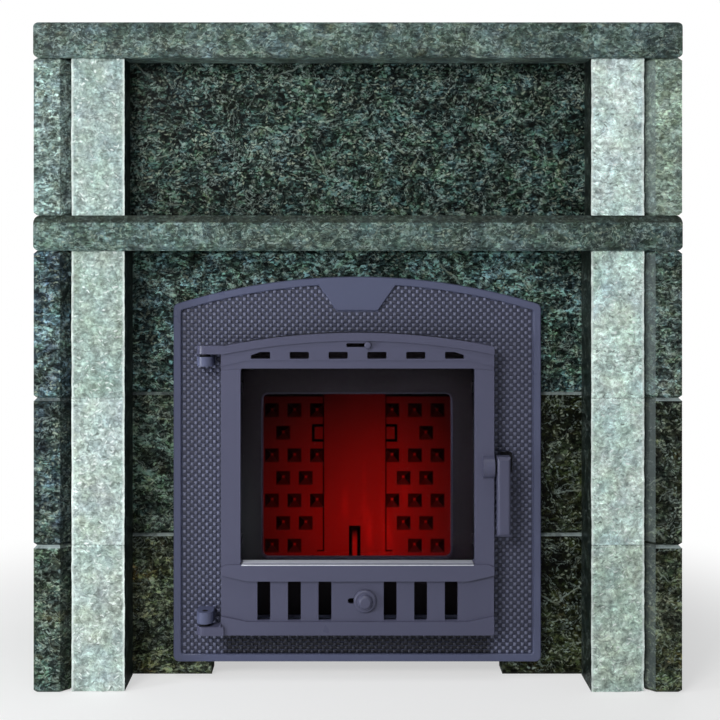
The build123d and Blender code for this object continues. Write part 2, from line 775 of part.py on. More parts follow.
# Door frame, one casting: field, raised rim with its tab, neck, flanges, seal rib, knuckles
tab_top_z = frame_crown - frame_rim_width
tab_foot_z = tab_top_z - tab_height
keeper_x = lever_x + lever_width - tail_width
keeper_y = axle_y + lever_hub_radius + keeper_tail_gap
keeper_z = axle_z + tail_width / 2 + keeper_gap + keeper_peg_radius + keeper_margin
keeper_foot_z = keeper_z - keeper_stud_drop
with BuildPart() as door_frame:
    with BuildSketch(wall_plane(lower_face)) as field:
        add(frame_outline(corner=frame_corner_radius))
    extrude(field.sketch, amount=frame_plate)
    with BuildSketch(wall_plane(field_face)) as rim:
        add(frame_outline(corner=frame_corner_radius))
        add(frame_outline(frame_rim_width, frame_corner_radius / 2), mode=Mode.SUBTRACT)
        with BuildLine():
            Polyline(
                (-tab_foot_width / 2, tab_foot_z),
                (tab_foot_width / 2, tab_foot_z),
                (tab_head_width / 2, tab_top_z),
                (-tab_head_width / 2, tab_top_z),
                close=True,
            )
        make_face()
    extrude(rim.sketch, amount=frame_rim)
    rim_front = door_frame.faces().filter_by(Axis.Y).sort_by(Axis.Y)[0]
    chamfer(rim_front.edges(), frame_rim_bevel)
    with BuildSketch(wall_plane(neck_back)) as neck:
        with Locations((0, (neck_floor + neck_top) / 2)):
            Rectangle(2 * neck_half, neck_top - neck_floor)
    extrude(neck.sketch, amount=neck_back - field_face)
    for side in (-1, 1):
        block(
            span(side, neck_half, flange_half),
            (neck_back - neck_flange_thickness, neck_back),
            (neck_floor, neck_top),
        )
    with BuildSketch(wall_plane(neck_back)) as bore:
        with Locations((0, (neck_floor + neck_top) / 2)):
            Rectangle(2 * neck_inner, neck_top - neck_floor - 2 * neck_wall)
    extrude(bore.sketch, amount=neck_back - lower_face, mode=Mode.SUBTRACT)
    with BuildSketch(wall_plane(lower_face)) as opening:
        add(leaf_outline(seal_inset))
    extrude(opening.sketch, amount=frame_plate, mode=Mode.SUBTRACT)
    with BuildSketch(wall_plane(field_face)) as rib:
        add(leaf_outline(leaf_wall + rib_margin))
        add(leaf_outline(leaf_wall + rope_width - rib_margin), mode=Mode.SUBTRACT)
    extrude(rib.sketch, amount=rib_reach)
    with BuildSketch(wall_plane(neck_back)) as bolt_holes:
        with Locations([(side * bolt_x, z) for side in (-1, 1) for z in bolt_heights]):
            Circle(bolt_radius + running_gap)
    extrude(bolt_holes.sketch, amount=neck_flange_thickness, mode=Mode.SUBTRACT)
    for knuckle_z, knuckle_height in (
        (top_knuckle_z, top_knuckle_height),
        (low_knuckle_z, low_knuckle_height),
    ):
        with BuildSketch(Plane.XY.offset(knuckle_z)) as knuckle:
            with Locations((hinge_x, hinge_y)):
                Circle(knuckle_radius)
            with Locations((hinge_x, (hinge_y + field_face) / 2)):
                Rectangle(2 * knuckle_radius, field_face - hinge_y)
            with Locations((hinge_x, hinge_y)):
                Circle(hinge_pin_radius + press_gap, mode=Mode.SUBTRACT)
        extrude(knuckle.sketch, amount=knuckle_height)
    with BuildSketch(wall_plane(lower_face)) as stud_hole:
        with Locations((keeper_x + keeper_wall, keeper_foot_z)):
            Circle(screw_radius + press_gap)
    extrude(stud_hole.sketch, amount=frame_plate, mode=Mode.SUBTRACT)
door_frame.part.label = "door_frame"
export_step(door_frame.part, "parts/door_frame.step")

# Frame bolts, with hexagon heads behind the cheek flanges and nuts on the neck flanges
with BuildPart() as frame_bolts:
    head_face = box_front + cheek_flange
    nut_face = neck_back - neck_flange_thickness
    for side in (-1, 1):
        for z in bolt_heights:
            with BuildSketch(wall_plane(head_face)) as shank:
                with Locations((side * bolt_x, z)):
                    Circle(bolt_radius)
            extrude(shank.sketch, amount=head_face - nut_face + bolt_head_height)
            for depth in (head_face + bolt_head_height, nut_face):
                with BuildSketch(wall_plane(depth)) as head:
                    with Locations((side * bolt_x, z)):
                        RegularPolygon(bolt_head_radius, 6)
                extrude(head.sketch, amount=bolt_head_height)
frame_bolts.part.label = "frame_bolts"
export_step(frame_bolts.part, "parts/frame_bolts.step")

# Hinge pins, each with a shoulder that keeps the ear off the knuckle
with BuildPart() as hinge_pins:
    top_ear_top = top_ear_z + top_ear_height
    knuckle_top = top_knuckle_z + top_knuckle_height
    with BuildSketch(Plane.XY.offset(top_knuckle_z)) as top_pin:
        with Locations((hinge_x, hinge_y)):
            Circle(hinge_pin_radius)
    extrude(top_pin.sketch, amount=top_ear_top - top_knuckle_z)
    with BuildSketch(Plane.XY.offset(knuckle_top)) as top_shoulder:
        with Locations((hinge_x, hinge_y)):
            Circle(pin_shoulder_radius)
    extrude(top_shoulder.sketch, amount=top_ear_z - knuckle_top - ear_gap)
    low_ear_top = low_ear_z + low_ear_height
    with BuildSketch(Plane.XY.offset(low_ear_z)) as low_pin:
        with Locations((hinge_x, hinge_y)):
            Circle(hinge_pin_radius)
    extrude(low_pin.sketch, amount=low_knuckle_z + low_knuckle_height - low_ear_z)
    with BuildSketch(Plane.XY.offset(low_ear_top + ear_gap)) as low_shoulder:
        with Locations((hinge_x, hinge_y)):
            Circle(pin_shoulder_radius)
    extrude(low_shoulder.sketch, amount=low_knuckle_z - low_ear_top - ear_gap)
hinge_pins.part.label = "hinge_pins"
export_step(hinge_pins.part, "parts/hinge_pins.step")

# Latch keeper, a foot on the field, an ear and a peg above the lever's tail
keeper_ear_x = keeper_x + tail_width + keeper_margin
keeper_ear = (keeper_ear_x, keeper_ear_x + keeper_wall)
keeper_span = (keeper_foot_z - keeper_reach, keeper_z + keeper_reach)
with BuildPart() as latch_keeper:
    block(
        (keeper_x - keeper_margin, keeper_ear[1]),
        (field_face - keeper_wall, field_face),
        keeper_span,
    )
    keeper_nose = keeper_y - keeper_peg_radius - keeper_margin
    block(keeper_ear, (keeper_nose, field_face), keeper_span)
    with BuildSketch(Plane.YZ.offset(keeper_x)) as peg:
        with Locations((keeper_y, keeper_z)):
            Circle(keeper_peg_radius)
    extrude(peg.sketch, amount=keeper_ear[0] - keeper_x)
    with BuildSketch(wall_plane(lower_face)) as stud:
        with Locations((keeper_x + keeper_wall, keeper_foot_z)):
            Circle(screw_radius)
    extrude(stud.sketch, amount=frame_plate)
latch_keeper.part.label = "latch_keeper"
export_step(latch_keeper.part, "parts/latch_keeper.step")

# Door leaf, one casting: plate, rim band, sill, vents, seal channel, ears, axle boss
clip_boss_x = glass_opening_width / 2 + glass_overlap + clip_boss_radius + clip_boss_gap
glass_face = leaf_rear + glass_seal
glass_back = glass_face + glass_thickness
lower_slot_length = lower_air_travel + 2 * lower_shaft_radius + slot_end_gap
upper_slot_length = upper_air_travel + 2 * upper_shaft_radius + slot_end_gap
with BuildPart() as door_leaf:
    with BuildSketch(wall_plane(leaf_rear)) as plate:
        add(leaf_outline(corner=leaf_corner_radius))
    extrude(plate.sketch, amount=leaf_plate)
    with BuildSketch(wall_plane(leaf_face)) as rim_band:
        add(leaf_outline(corner=leaf_corner_radius))
        add(
            arched(
                leaf_half + rim_band_height,
                leaf_foot - rim_band_height,
                leaf_crown - rim_band_height,
                leaf_arch_radius - rim_band_height,
            ),
            mode=Mode.SUBTRACT,
        )
    extrude(rim_band.sketch, amount=leaf_front_reach)
    with BuildSketch(wall_plane(leaf_face)) as sill_band:
        with BuildLine():
            Polyline(
                (-panel_break, panel_top),
                (panel_break, panel_top),
                (leaf_half, panel_top + panel_flare),
                (leaf_half, sill_top - sill_slope),
                (leaf_half - 2 * sill_slope, sill_top),
                (2 * sill_slope - leaf_half, sill_top),
                (-leaf_half, sill_top - sill_slope),
                (-leaf_half, panel_top + panel_flare),
                close=True,
            )
        make_face()
    extrude(sill_band.sketch, amount=sill_raise)
    with BuildSketch(wall_plane(leaf_face)) as vent_panel:
        with BuildLine():
            Polyline(
                (-panel_break, panel_foot),
                (panel_break, panel_foot),
                (leaf_half, panel_foot + panel_flare),
                (leaf_half, panel_top + panel_flare),
                (panel_break, panel_top),
                (-panel_break, panel_top),
                (-leaf_half, panel_top + panel_flare),
                (-leaf_half, panel_foot + panel_flare),
                close=True,
            )
        make_face()
    extrude(vent_panel.sketch, amount=-relief, mode=Mode.SUBTRACT)
    with BuildSketch(wall_plane(leaf_face)) as header_band:
        with BuildLine():
            Polyline(
                (-panel_break, glass_opening_top),
                (panel_break, glass_opening_top),
                (leaf_half, glass_opening_top - relief),
                (leaf_half, header_band_top - panel_flare),
                (panel_break, header_band_top),
                (-panel_break, header_band_top),
                (-leaf_half, header_band_top - panel_flare),
                (-leaf_half, glass_opening_top - relief),
                close=True,
            )
        make_face()
    extrude(header_band.sketch, amount=-header_band_depth, mode=Mode.SUBTRACT)
    with BuildSketch(wall_plane(leaf_back)) as outer_wall:
        add(leaf_outline(corner=leaf_corner_radius))
        add(leaf_outline(leaf_wall), mode=Mode.SUBTRACT)
    extrude(outer_wall.sketch, amount=leaf_back - leaf_rear)
    with BuildSketch(wall_plane(rope_face)) as channel:
        add(leaf_outline(leaf_wall))
        add(leaf_outline(seal_inset), mode=Mode.SUBTRACT)
    extrude(channel.sketch, amount=rope_face - leaf_rear)
    with BuildSketch(wall_plane(rope_face + rope_depth / 2)) as lip:
        add(leaf_outline(seal_inset - seal_lip))
        add(leaf_outline(seal_inset), mode=Mode.SUBTRACT)
    extrude(lip.sketch, amount=rope_depth / 2)
    with BuildSketch(wall_plane(leaf_rear)) as glass_opening:
        with Locations((0, glass_opening_bottom + glass_opening_height / 2)):
            RectangleRounded(glass_opening_width, glass_opening_height, leaf_corner_radius)
    extrude(glass_opening.sketch, amount=leaf_plate + relief, mode=Mode.SUBTRACT)
    with BuildSketch(Plane.YZ.offset(-glass_opening_width / 2)) as sill_cut:
        with BuildLine():
            Polyline(
                (leaf_face - relief, glass_opening_bottom),
                (leaf_face - relief, glass_opening_bottom - sill_slope),
                (leaf_face, glass_opening_bottom - sill_slope),
                (leaf_rear, glass_opening_bottom),
                close=True,
            )
        make_face()
    extrude(sill_cut.sketch, amount=glass_opening_width, mode=Mode.SUBTRACT)
    with BuildSketch(wall_plane(leaf_rear)) as vents:
        with Locations([(x, lower_slot_z) for x in lower_vent_x]):
            RectangleRounded(lower_vent_width, lower_vent_height, vent_radius)
        with Locations((lower_shaft_x - lower_air_travel / 2, lower_slot_z)):
            SlotOverall(lower_slot_length, 2 * (lower_shaft_radius + slot_gap))
        with Locations((upper_shaft_x - upper_air_travel / 2, upper_slot_z)):
            SlotOverall(upper_slot_length, 2 * (upper_shaft_radius + slot_gap))
        with Locations([(x, upper_vent_foot + upper_vent_height / 2) for x in upper_vent_x[1:-1]]):
            RectangleRounded(upper_vent_width, upper_vent_height, vent_radius)
    extrude(vents.sketch, amount=leaf_plate + relief, mode=Mode.SUBTRACT)
    with BuildSketch(wall_plane(leaf_rear)) as end_vents:
        for side in (-1, 1):
            middle = side * upper_vent_x[-1]
            near = middle - side * upper_vent_width / 2
            far = middle + side * upper_vent_width / 2
            with BuildLine():
                Polyline(
                    (near, upper_vent_foot),
                    (far, upper_vent_foot),
                    (far, upper_vent_foot + upper_vent_height / 2),
                    (middle, upper_vent_foot + upper_vent_height),
                    (near, upper_vent_foot + upper_vent_height),
                    close=True,
                )
            make_face()
        fillet(end_vents.vertices(), end_vent_radius)
    extrude(end_vents.sketch, amount=leaf_plate + relief, mode=Mode.SUBTRACT)
    for ear_z, ear_height in ((top_ear_z, top_ear_height), (low_ear_z, low_ear_height)):
        with BuildSketch(Plane.XY.offset(ear_z)) as ear:
            with Locations((hinge_x, hinge_y)):
                Circle(knuckle_radius)
            with Locations(((hinge_x - leaf_half + leaf_wall) / 2, hinge_y)):
                Rectangle(leaf_wall - leaf_half - hinge_x, 2 * knuckle_radius)
            with Locations((hinge_x, hinge_y)):
                Circle(hinge_pin_radius + running_gap, mode=Mode.SUBTRACT)
        extrude(ear.sketch, amount=ear_height)
    with BuildSketch(wall_plane(hinge_y + knuckle_radius)) as ear_root:
        ear_top = low_ear_z + low_ear_height
        with Locations((-leaf_half - low_ear_fillet / 2, ear_top + low_ear_fillet / 2)):
            Rectangle(low_ear_fillet, low_ear_fillet)
        with Locations((-leaf_half - low_ear_fillet, ear_top + low_ear_fillet)):
            Circle(low_ear_fillet, mode=Mode.SUBTRACT)
    extrude(ear_root.sketch, amount=2 * knuckle_radius)
    with BuildSketch(Plane.YZ.offset(leaf_half - boss_width)) as boss:
        with Locations((axle_y, axle_z)):
            Circle(boss_radius)
    extrude(boss.sketch, amount=boss_width)
    with BuildSketch(Plane.YZ.offset(leaf_half - boss_width + axle_end_gap)) as axle_bore:
        with Locations((axle_y, axle_z)):
            Circle(axle_radius + running_gap)
    extrude(axle_bore.sketch, amount=boss_width, mode=Mode.SUBTRACT)
    with BuildSketch(wall_plane(glass_back)) as clip_bosses:
        with Locations([(side * clip_boss_x, z) for side in (-1, 1) for z in clip_heights]):
            Circle(clip_boss_radius)
    extrude(clip_bosses.sketch, amount=glass_back - leaf_rear)
    with BuildSketch(wall_plane(glass_back)) as clip_holes:
        with Locations([(side * clip_boss_x, z) for side in (-1, 1) for z in clip_heights]):
            Circle(clip_screw_radius + press_gap)
    extrude(clip_holes.sketch, amount=glass_back - leaf_rear, mode=Mode.SUBTRACT)
door_leaf.part.label = "door_leaf"
export_step(door_leaf.part, "parts/door_leaf.step")

# Glass pane and the flat rope it is bedded on
glass_half = glass_opening_width / 2 + glass_overlap
glass_height = glass_opening_height + 2 * glass_overlap
glass_middle = glass_opening_bottom + glass_opening_height / 2
with BuildPart() as door_glass:
    with BuildSketch(wall_plane(glass_back)) as pane:
        with Locations((0, glass_middle)):
            Rectangle(2 * glass_half, glass_height)
    extrude(pane.sketch, amount=glass_thickness)
door_glass.part.label = "door_glass"
export_step(door_glass.part, "parts/door_glass.step")

with BuildPart() as glass_gasket:
    with BuildSketch(wall_plane(glass_face)) as bed:
        with Locations((0, glass_middle)):
            Rectangle(2 * glass_half, glass_height)
            Rectangle(
                glass_opening_width + 2 * fit_gap,
                glass_opening_height + 2 * fit_gap,
                mode=Mode.SUBTRACT,
            )
    extrude(bed.sketch, amount=glass_seal)
glass_gasket.part.label = "glass_gasket"
export_step(glass_gasket.part, "parts/glass_gasket.step")

# Glass clips and their screws
with BuildPart() as glass_clips:
    for side in (-1, 1):
        for z in clip_heights:
            block(
                span(side, glass_half - clip_width / 2, clip_boss_x + clip_boss_radius),
                (glass_back, glass_back + clip_thickness),
                (z - clip_width / 2, z + clip_width / 2),
            )
    with BuildSketch(wall_plane(glass_back + clip_thickness)) as clip_holes:
        with Locations([(side * clip_boss_x, z) for side in (-1, 1) for z in clip_heights]):
            Circle(clip_screw_radius + press_gap)
    extrude(clip_holes.sketch, amount=clip_thickness, mode=Mode.SUBTRACT)
glass_clips.part.label = "glass_clips"
export_step(glass_clips.part, "parts/glass_clips.step")

with BuildPart() as clip_screws:
    seat_y = glass_back + clip_thickness
    places = [(side * clip_boss_x, z) for side in (-1, 1) for z in clip_heights]
    with BuildSketch(wall_plane(seat_y)) as shanks:
        with Locations(places):
            Circle(clip_screw_radius)
    extrude(shanks.sketch, amount=clip_thickness + glass_thickness)
    with BuildSketch(wall_plane(seat_y + clip_thickness)) as heads:
        with Locations(places):
            Circle(clip_boss_radius)
    extrude(heads.sketch, amount=clip_thickness)
clip_screws.part.label = "clip_screws"
export_step(clip_screws.part, "parts/clip_screws.step")

# Rope seal in the channel behind the leaf's edge
with BuildPart() as door_gasket:
    with BuildSketch(wall_plane(rope_face + rope_depth)) as rope:
        add(leaf_outline(leaf_wall + press_gap))
        add(leaf_outline(leaf_wall + rope_width - press_gap), mode=Mode.SUBTRACT)
    extrude(rope.sketch, amount=rope_depth)
    chamfer(door_gasket.faces().sort_by(Axis.Y)[-1].edges(), rope_chamfer)
door_gasket.part.label = "door_gasket"
export_step(door_gasket.part, "parts/door_gasket.step")

# Lower air slide, a slotted plate behind the lower vents
slide_face = leaf_rear + slide_gap
slide_back = slide_face + shutter_thickness
lower_plate_half = vent_offsets[-1] + lower_vent_width / 2 + shutter_margin
lower_plate_floor = lower_vent_foot - shutter_margin / 2
lower_plate_top = lower_vent_foot + lower_vent_height + shutter_margin / 2
with BuildPart() as lower_shutter:
    block(
        (-lower_plate_half, lower_plate_half + lower_air_travel / 2),
        (slide_face, slide_back),
        (lower_plate_floor, lower_plate_top),
    )
    with BuildSketch(wall_plane(slide_back)) as slots:
        with Locations([(x, lower_slot_z) for x in lower_vent_x]):
            Rectangle(lower_vent_width + 2 * shutter_slot_gap, lower_vent_height - 4 * shutter_slot_gap)
        with Locations((lower_shaft_x, lower_slot_z)):
            Circle(lower_shaft_radius + press_gap)
    extrude(slots.sketch, amount=shutter_thickness, mode=Mode.SUBTRACT)
lower_shutter.part.label = "lower_shutter"
export_step(lower_shutter.part, "parts/lower_shutter.step")

# Knob of the lower slide, a turned button in two steps on a shaft through the slot
knob_seat = leaf_face + relief - slide_gap
disc_face = knob_seat - knob_disc - knob_disc_bevel
cap_face = disc_face - knob_cap_height
knob_rim = lower_slot_z + knob_radius
cap_rim = lower_slot_z + knob_cap_radius
with BuildPart() as lower_knob:
    with BuildSketch(Plane.YZ.offset(lower_shaft_x)) as half_profile:
        with BuildLine():
            Polyline(
                (slide_back, lower_slot_z),
                (slide_back, lower_slot_z + lower_shaft_radius),
                (knob_seat, lower_slot_z + lower_shaft_radius),
                (knob_seat, knob_rim),
                (knob_seat - knob_disc, knob_rim),
                (disc_face, knob_rim - knob_disc_bevel),
                (disc_face, cap_rim),
                (cap_face + knob_cap_bevel, cap_rim - knob_taper),
                (cap_face, cap_rim - knob_taper - knob_cap_bevel),
                (cap_face, lower_slot_z),
                close=True,
            )
        make_face()
    revolve(axis=Axis((lower_shaft_x, 0, lower_slot_z), (0, 1, 0)))
lower_knob.part.label = "lower_knob"
export_step(lower_knob.part, "parts/lower_knob.step")

# Upper air slide, kept inside the leaf's inner outline at both ends of its travel
strip_foot = upper_vent_foot - shutter_margin
strip_top = upper_vent_foot + upper_vent_height + shutter_margin
upper_plate_left = upper_vent_x[0] - upper_vent_width / 2
upper_plate_right = upper_vent_x[-1] + upper_vent_pitch / 2
with BuildPart() as upper_shutter:
    with BuildSketch(wall_plane(slide_back)) as strip:
        with Locations(((upper_plate_left + upper_plate_right) / 2, (strip_foot + strip_top) / 2)):
            Rectangle(upper_plate_right - upper_plate_left, strip_top - strip_foot)
        with Locations((upper_shaft_x, (strip_foot + upper_slot_z + upper_shaft_radius) / 2)):
            Rectangle(shutter_tab_width, upper_slot_z + upper_shaft_radius - strip_foot)
        with Locations([(x, upper_vent_foot + upper_vent_height / 2) for x in upper_vent_x]):
            Rectangle(upper_vent_width, upper_vent_height, mode=Mode.SUBTRACT)
        with Locations((upper_shaft_x, upper_slot_z)):
            Circle(upper_shaft_radius + press_gap, mode=Mode.SUBTRACT)
        room = leaf_outline(seal_inset + slide_gap)
        add(room, mode=Mode.INTERSECT)
        with Locations((upper_air_travel, 0)):
            add(room, mode=Mode.INTERSECT)
    extrude(strip.sketch, amount=shutter_thickness)
upper_shutter.part.label = "upper_shutter"
export_step(upper_shutter.part, "parts/upper_shutter.step")

# Pin of the upper slide
with BuildPart() as upper_pin:
    with BuildSketch(wall_plane(slide_back)) as shaft:
        with Locations((upper_shaft_x, upper_slot_z)):
            Circle(upper_shaft_radius)
    extrude(shaft.sketch, amount=slide_back - leaf_face + pin_head_height / 2)
    with BuildSketch(wall_plane(leaf_face - slide_gap)) as pin_head:
        with Locations((upper_shaft_x, upper_slot_z)):
            Circle(pin_head_radius)
    extrude(pin_head.sketch, amount=pin_head_height)
    fillet(upper_pin.faces().sort_by(Axis.Y)[0].edges(), pin_head_round)
upper_pin.part.label = "upper_pin"
export_step(upper_pin.part, "parts/upper_pin.step")

# Shutter guides, rebated rails on the back of the leaf
guide_depth = slide_back + slide_gap
lip_back = guide_depth + guide_lip_thickness
with BuildPart() as shutter_guides:
    for rail_half, seat_z, grow in (
        (lower_plate_half, lower_plate_top + slide_gap, 1),
        (lower_plate_half, lower_plate_floor - slide_gap, -1),
        (lower_plate_half, strip_foot - slide_gap, -1),
    ):
        body = sorted((seat_z, seat_z + grow * guide_wall))
        lip = sorted((seat_z - grow * guide_lip, seat_z + grow * guide_wall))
        block((-rail_half, rail_half), (leaf_rear, lip_back), tuple(body))
        block((-rail_half, rail_half), (guide_depth, lip_back), tuple(lip))
shutter_guides.part.label = "shutter_guides"
export_step(shutter_guides.part, "parts/shutter_guides.step")

# Latch lever, a hub on the axle, a hanging bar in front and a tail towards the keeper
lever_front = axle_y - lever_reach
lever_rear = lever_front + lever_thickness
lever_foot = axle_z - lever_length
with BuildPart() as latch_lever:
    with BuildSketch(Plane.YZ.offset(lever_x)) as hub:
        with Locations((axle_y, axle_z)):
            Circle(lever_hub_radius)
    extrude(hub.sketch, amount=lever_width)
    bar_top = axle_z + lever_hub_radius
    with BuildSketch(Plane.YZ.offset(lever_x)) as bar:
        with BuildLine():
            Polyline(
                (axle_y, bar_top),
                (lever_front + lever_bevel, bar_top),
                (lever_front, bar_top - lever_bevel),
                (lever_front, lever_foot + lever_bevel),
                (lever_front + lever_bevel, lever_foot),
                (lever_rear - lever_bevel, lever_foot),
                (lever_rear, lever_foot + lever_bevel),
                (lever_rear, axle_z - 2 * lever_hub_radius),
                (axle_y, axle_z - lever_hub_radius),
                close=True,
            )
        make_face()
    extrude(bar.sketch, amount=lever_width)
    bar_face = latch_lever.faces().sort_by(Axis.Y)[0]
    fillet(bar_face.edges().filter_by(Axis.Z), lever_bevel)
    block(
        (keeper_x, keeper_x + tail_width),
        (axle_y, axle_y + tail_reach),
        (axle_z - tail_width, axle_z + tail_width / 2),
    )
    with BuildSketch(Plane.YZ.offset(lever_x)) as axle_hole:
        with Locations((axle_y, axle_z)):
            Circle(axle_radius + press_gap)
    extrude(axle_hole.sketch, amount=lever_width, mode=Mode.SUBTRACT)
latch_lever.part.label = "latch_lever"
export_step(latch_lever.part, "parts/latch_lever.step")

# Axle, a steel pin through the boss, a spacer collar and the lever
with BuildPart() as latch_axle:
    axle_start = leaf_half - boss_width + 2 * axle_end_gap
    with BuildSketch(Plane.YZ.offset(axle_start)) as axle:
        with Locations((axle_y, axle_z)):
            Circle(axle_radius)
    extrude(axle.sketch, amount=lever_x + lever_width - axle_start)
    with BuildSketch(Plane.YZ.offset(leaf_half + slide_gap)) as collar:
        with Locations((axle_y, axle_z)):
            Circle(axle_radius + collar_wall)
    extrude(collar.sketch, amount=lever_gap - slide_gap)
latch_axle.part.label = "latch_axle"
export_step(latch_axle.part, "parts/latch_axle.step")
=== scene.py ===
import bpy
import json
import math
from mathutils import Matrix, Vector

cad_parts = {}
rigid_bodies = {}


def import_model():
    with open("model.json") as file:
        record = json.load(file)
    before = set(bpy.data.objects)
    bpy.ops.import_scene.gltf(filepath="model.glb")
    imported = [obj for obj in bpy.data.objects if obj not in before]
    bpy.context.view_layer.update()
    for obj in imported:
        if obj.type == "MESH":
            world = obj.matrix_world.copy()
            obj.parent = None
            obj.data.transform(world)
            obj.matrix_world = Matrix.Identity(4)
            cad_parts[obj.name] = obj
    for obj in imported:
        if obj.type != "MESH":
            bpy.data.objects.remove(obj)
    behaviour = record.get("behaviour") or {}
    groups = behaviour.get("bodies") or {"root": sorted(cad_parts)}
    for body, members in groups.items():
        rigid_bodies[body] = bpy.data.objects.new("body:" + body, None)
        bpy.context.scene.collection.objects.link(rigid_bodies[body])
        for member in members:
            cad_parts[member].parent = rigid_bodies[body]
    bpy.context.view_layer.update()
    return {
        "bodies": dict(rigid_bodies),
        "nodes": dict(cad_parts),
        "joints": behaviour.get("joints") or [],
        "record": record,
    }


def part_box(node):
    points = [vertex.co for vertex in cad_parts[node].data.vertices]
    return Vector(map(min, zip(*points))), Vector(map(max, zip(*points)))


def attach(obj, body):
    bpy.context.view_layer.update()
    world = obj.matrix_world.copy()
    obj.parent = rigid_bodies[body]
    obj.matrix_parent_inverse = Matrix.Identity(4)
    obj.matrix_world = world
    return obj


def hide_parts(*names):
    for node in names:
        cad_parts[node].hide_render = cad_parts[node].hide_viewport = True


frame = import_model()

# Studio: a white room with soft lamps high and low on the left, one above and one behind, as a
# catalogue photograph is lit. The floor is pale painted board that keeps the shadow, and the
# camera stands square to the front.
scene = bpy.context.scene
scene.view_settings.view_transform = "Standard"


def wire(tree, socket, value):
    """Joins a node's output to a socket, or writes a plain value into it."""
    if isinstance(value, bpy.types.NodeSocket):
        tree.links.new(value, socket)
    else:
        socket.default_value = value


def wire_all(tree, node, values):
    """Wires a node's inputs, each given by its name or number."""
    for place, value in values.items():
        wire(tree, node.inputs[place], value)


def add_node(tree, kind, values=None, **settings):
    """New shader node with its settings made and its inputs wired."""
    made = tree.nodes.new("ShaderNode" + kind)
    for name, setting in settings.items():
        setattr(made, name, setting)
    wire_all(tree, made, values or {})
    return made


def arithmetic(tree, operation, first, second=0.0, clamp=False):
    """Output of one Math node."""
    values = {0: first, 1: second}
    return add_node(tree, "Math", values, operation=operation, use_clamp=clamp).outputs[0]


def times(tree, first, second, clamp=False):
    """Product of two values."""
    return arithmetic(tree, "MULTIPLY", first, second, clamp)


def highest(tree, *values):
    """The largest of several values."""
    top = values[0]
    for value in values[1:]:
        top = arithmetic(tree, "MAXIMUM", top, value)
    return top


def fade(tree, value, start, end, low=0.0, high=1.0):
    """Smooth step of a value between two limits."""
    values = {"Value": value, "From Min": start, "From Max": end, "To Min": low, "To Max": high}
    return add_node(tree, "MapRange", values, interpolation_type="SMOOTHSTEP").outputs[0]


def object_place(tree):
    """Object coordinates, which give a place on the piece in metres."""
    return add_node(tree, "TexCoord").outputs["Object"]


def mix_shader(tree, factor, first, second):
    """Output of one Mix Shader node."""
    return add_node(tree, "MixShader", {0: factor, 1: first, 2: second}).outputs[0]


def bare_tree(owner):
    """Node tree of a world or a material, emptied."""
    owner.use_nodes = True
    owner.node_tree.nodes.clear()
    return owner.node_tree


studio_white = (1.0, 1.0, 1.0, 1.0)
room_colour = (0.93, 0.96, 1.0, 1.0)
room_light = 0.15
scene.world = bpy.data.worlds.new("studio_room")
tree = bare_tree(scene.world)
rays = add_node(tree, "LightPath").outputs
seen = highest(tree, rays["Is Camera Ray"], rays["Is Glossy Ray"], rays["Is Transmission Ray"])
lit = add_node(tree, "Background", {"Color": room_colour, "Strength": room_light})
white = add_node(tree, "Background", {"Color": studio_white, "Strength": 1.0})
room = mix_shader(tree, seen, lit.outputs[0], white.outputs[0])
add_node(tree, "OutputWorld", {"Surface": room})

floor_size, floor_back, floor_drop = 14.0, 2.0, 0.0006
floor_grey = (0.86, 0.86, 0.86, 1.0)
shadow_reach, white_reach, near_whiteness = 0.45, 1.0, 0.55
bpy.ops.object.select_all(action="DESELECT")
bpy.ops.mesh.primitive_plane_add(size=floor_size, location=(0.0, floor_back, -floor_drop))
bpy.ops.object.transform_apply(location=True, rotation=True, scale=True)
floor = bpy.context.object
floor.name = "studio_floor"
floor_paint = bpy.data.materials.new("floor_paint")
tree = bare_tree(floor_paint)
rays = add_node(tree, "LightPath").outputs
matt = add_node(tree, "BsdfDiffuse", {"Color": floor_grey}).outputs[0]
glow = add_node(tree, "Emission", {"Color": studio_white, "Strength": 1.0}).outputs[0]
seen = highest(tree, rays["Is Camera Ray"], rays["Is Transmission Ray"])
away = add_node(tree, "VectorMath", {0: object_place(tree)}, operation="LENGTH").outputs["Value"]
share = times(tree, seen, fade(tree, away, shadow_reach, white_reach, near_whiteness, 1.0))
add_node(tree, "OutputMaterial", {"Surface": mix_shader(tree, share, matt, glow)})
floor.data.materials.append(floor_paint)


def soft_lamp(name, place, aim, size, watts, colour):
    """Area lamp of a width and a height that looks from its place at a point."""
    lamp = bpy.data.lights.new(name, "AREA")
    lamp.shape = "RECTANGLE"
    lamp.size, lamp.size_y = size
    lamp.energy = watts
    lamp.color = colour
    stand = bpy.data.objects.new(name, lamp)
    scene.collection.objects.link(stand)
    stand.location = place
    line = [end - start for start, end in zip(place, aim)]
    across = math.hypot(line[0], line[1])
    stand.rotation_euler = (math.atan2(across, -line[2]), 0.0, math.atan2(-line[0], line[1]))


casing_middle, door_left = (0.0, -0.2, 0.42), (-0.2, -0.19, 0.28)
soft_lamp("key_lamp", (-1.2, -2.6, 1.65), casing_middle, (0.9, 0.9), 42.0, (1.0, 0.99, 0.97))
soft_lamp("side_lamp", (-2.4, -1.25, 0.8), casing_middle, (0.45, 1.9), 12.0, (0.93, 0.96, 1.0))
soft_lamp("strip_lamp", (-1.25, -0.79, 0.23), door_left, (0.22, 0.42), 7.5, (0.93, 0.97, 1.0))
soft_lamp("top_lamp", (-0.3, -1.0, 2.6), casing_middle, (1.4, 0.8), 14.0, (0.96, 0.98, 1.0))
soft_lamp("back_lamp", (1.2, 2.6, 2.2), casing_middle, (1.8, 1.8), 18.0, (0.96, 0.98, 1.0))

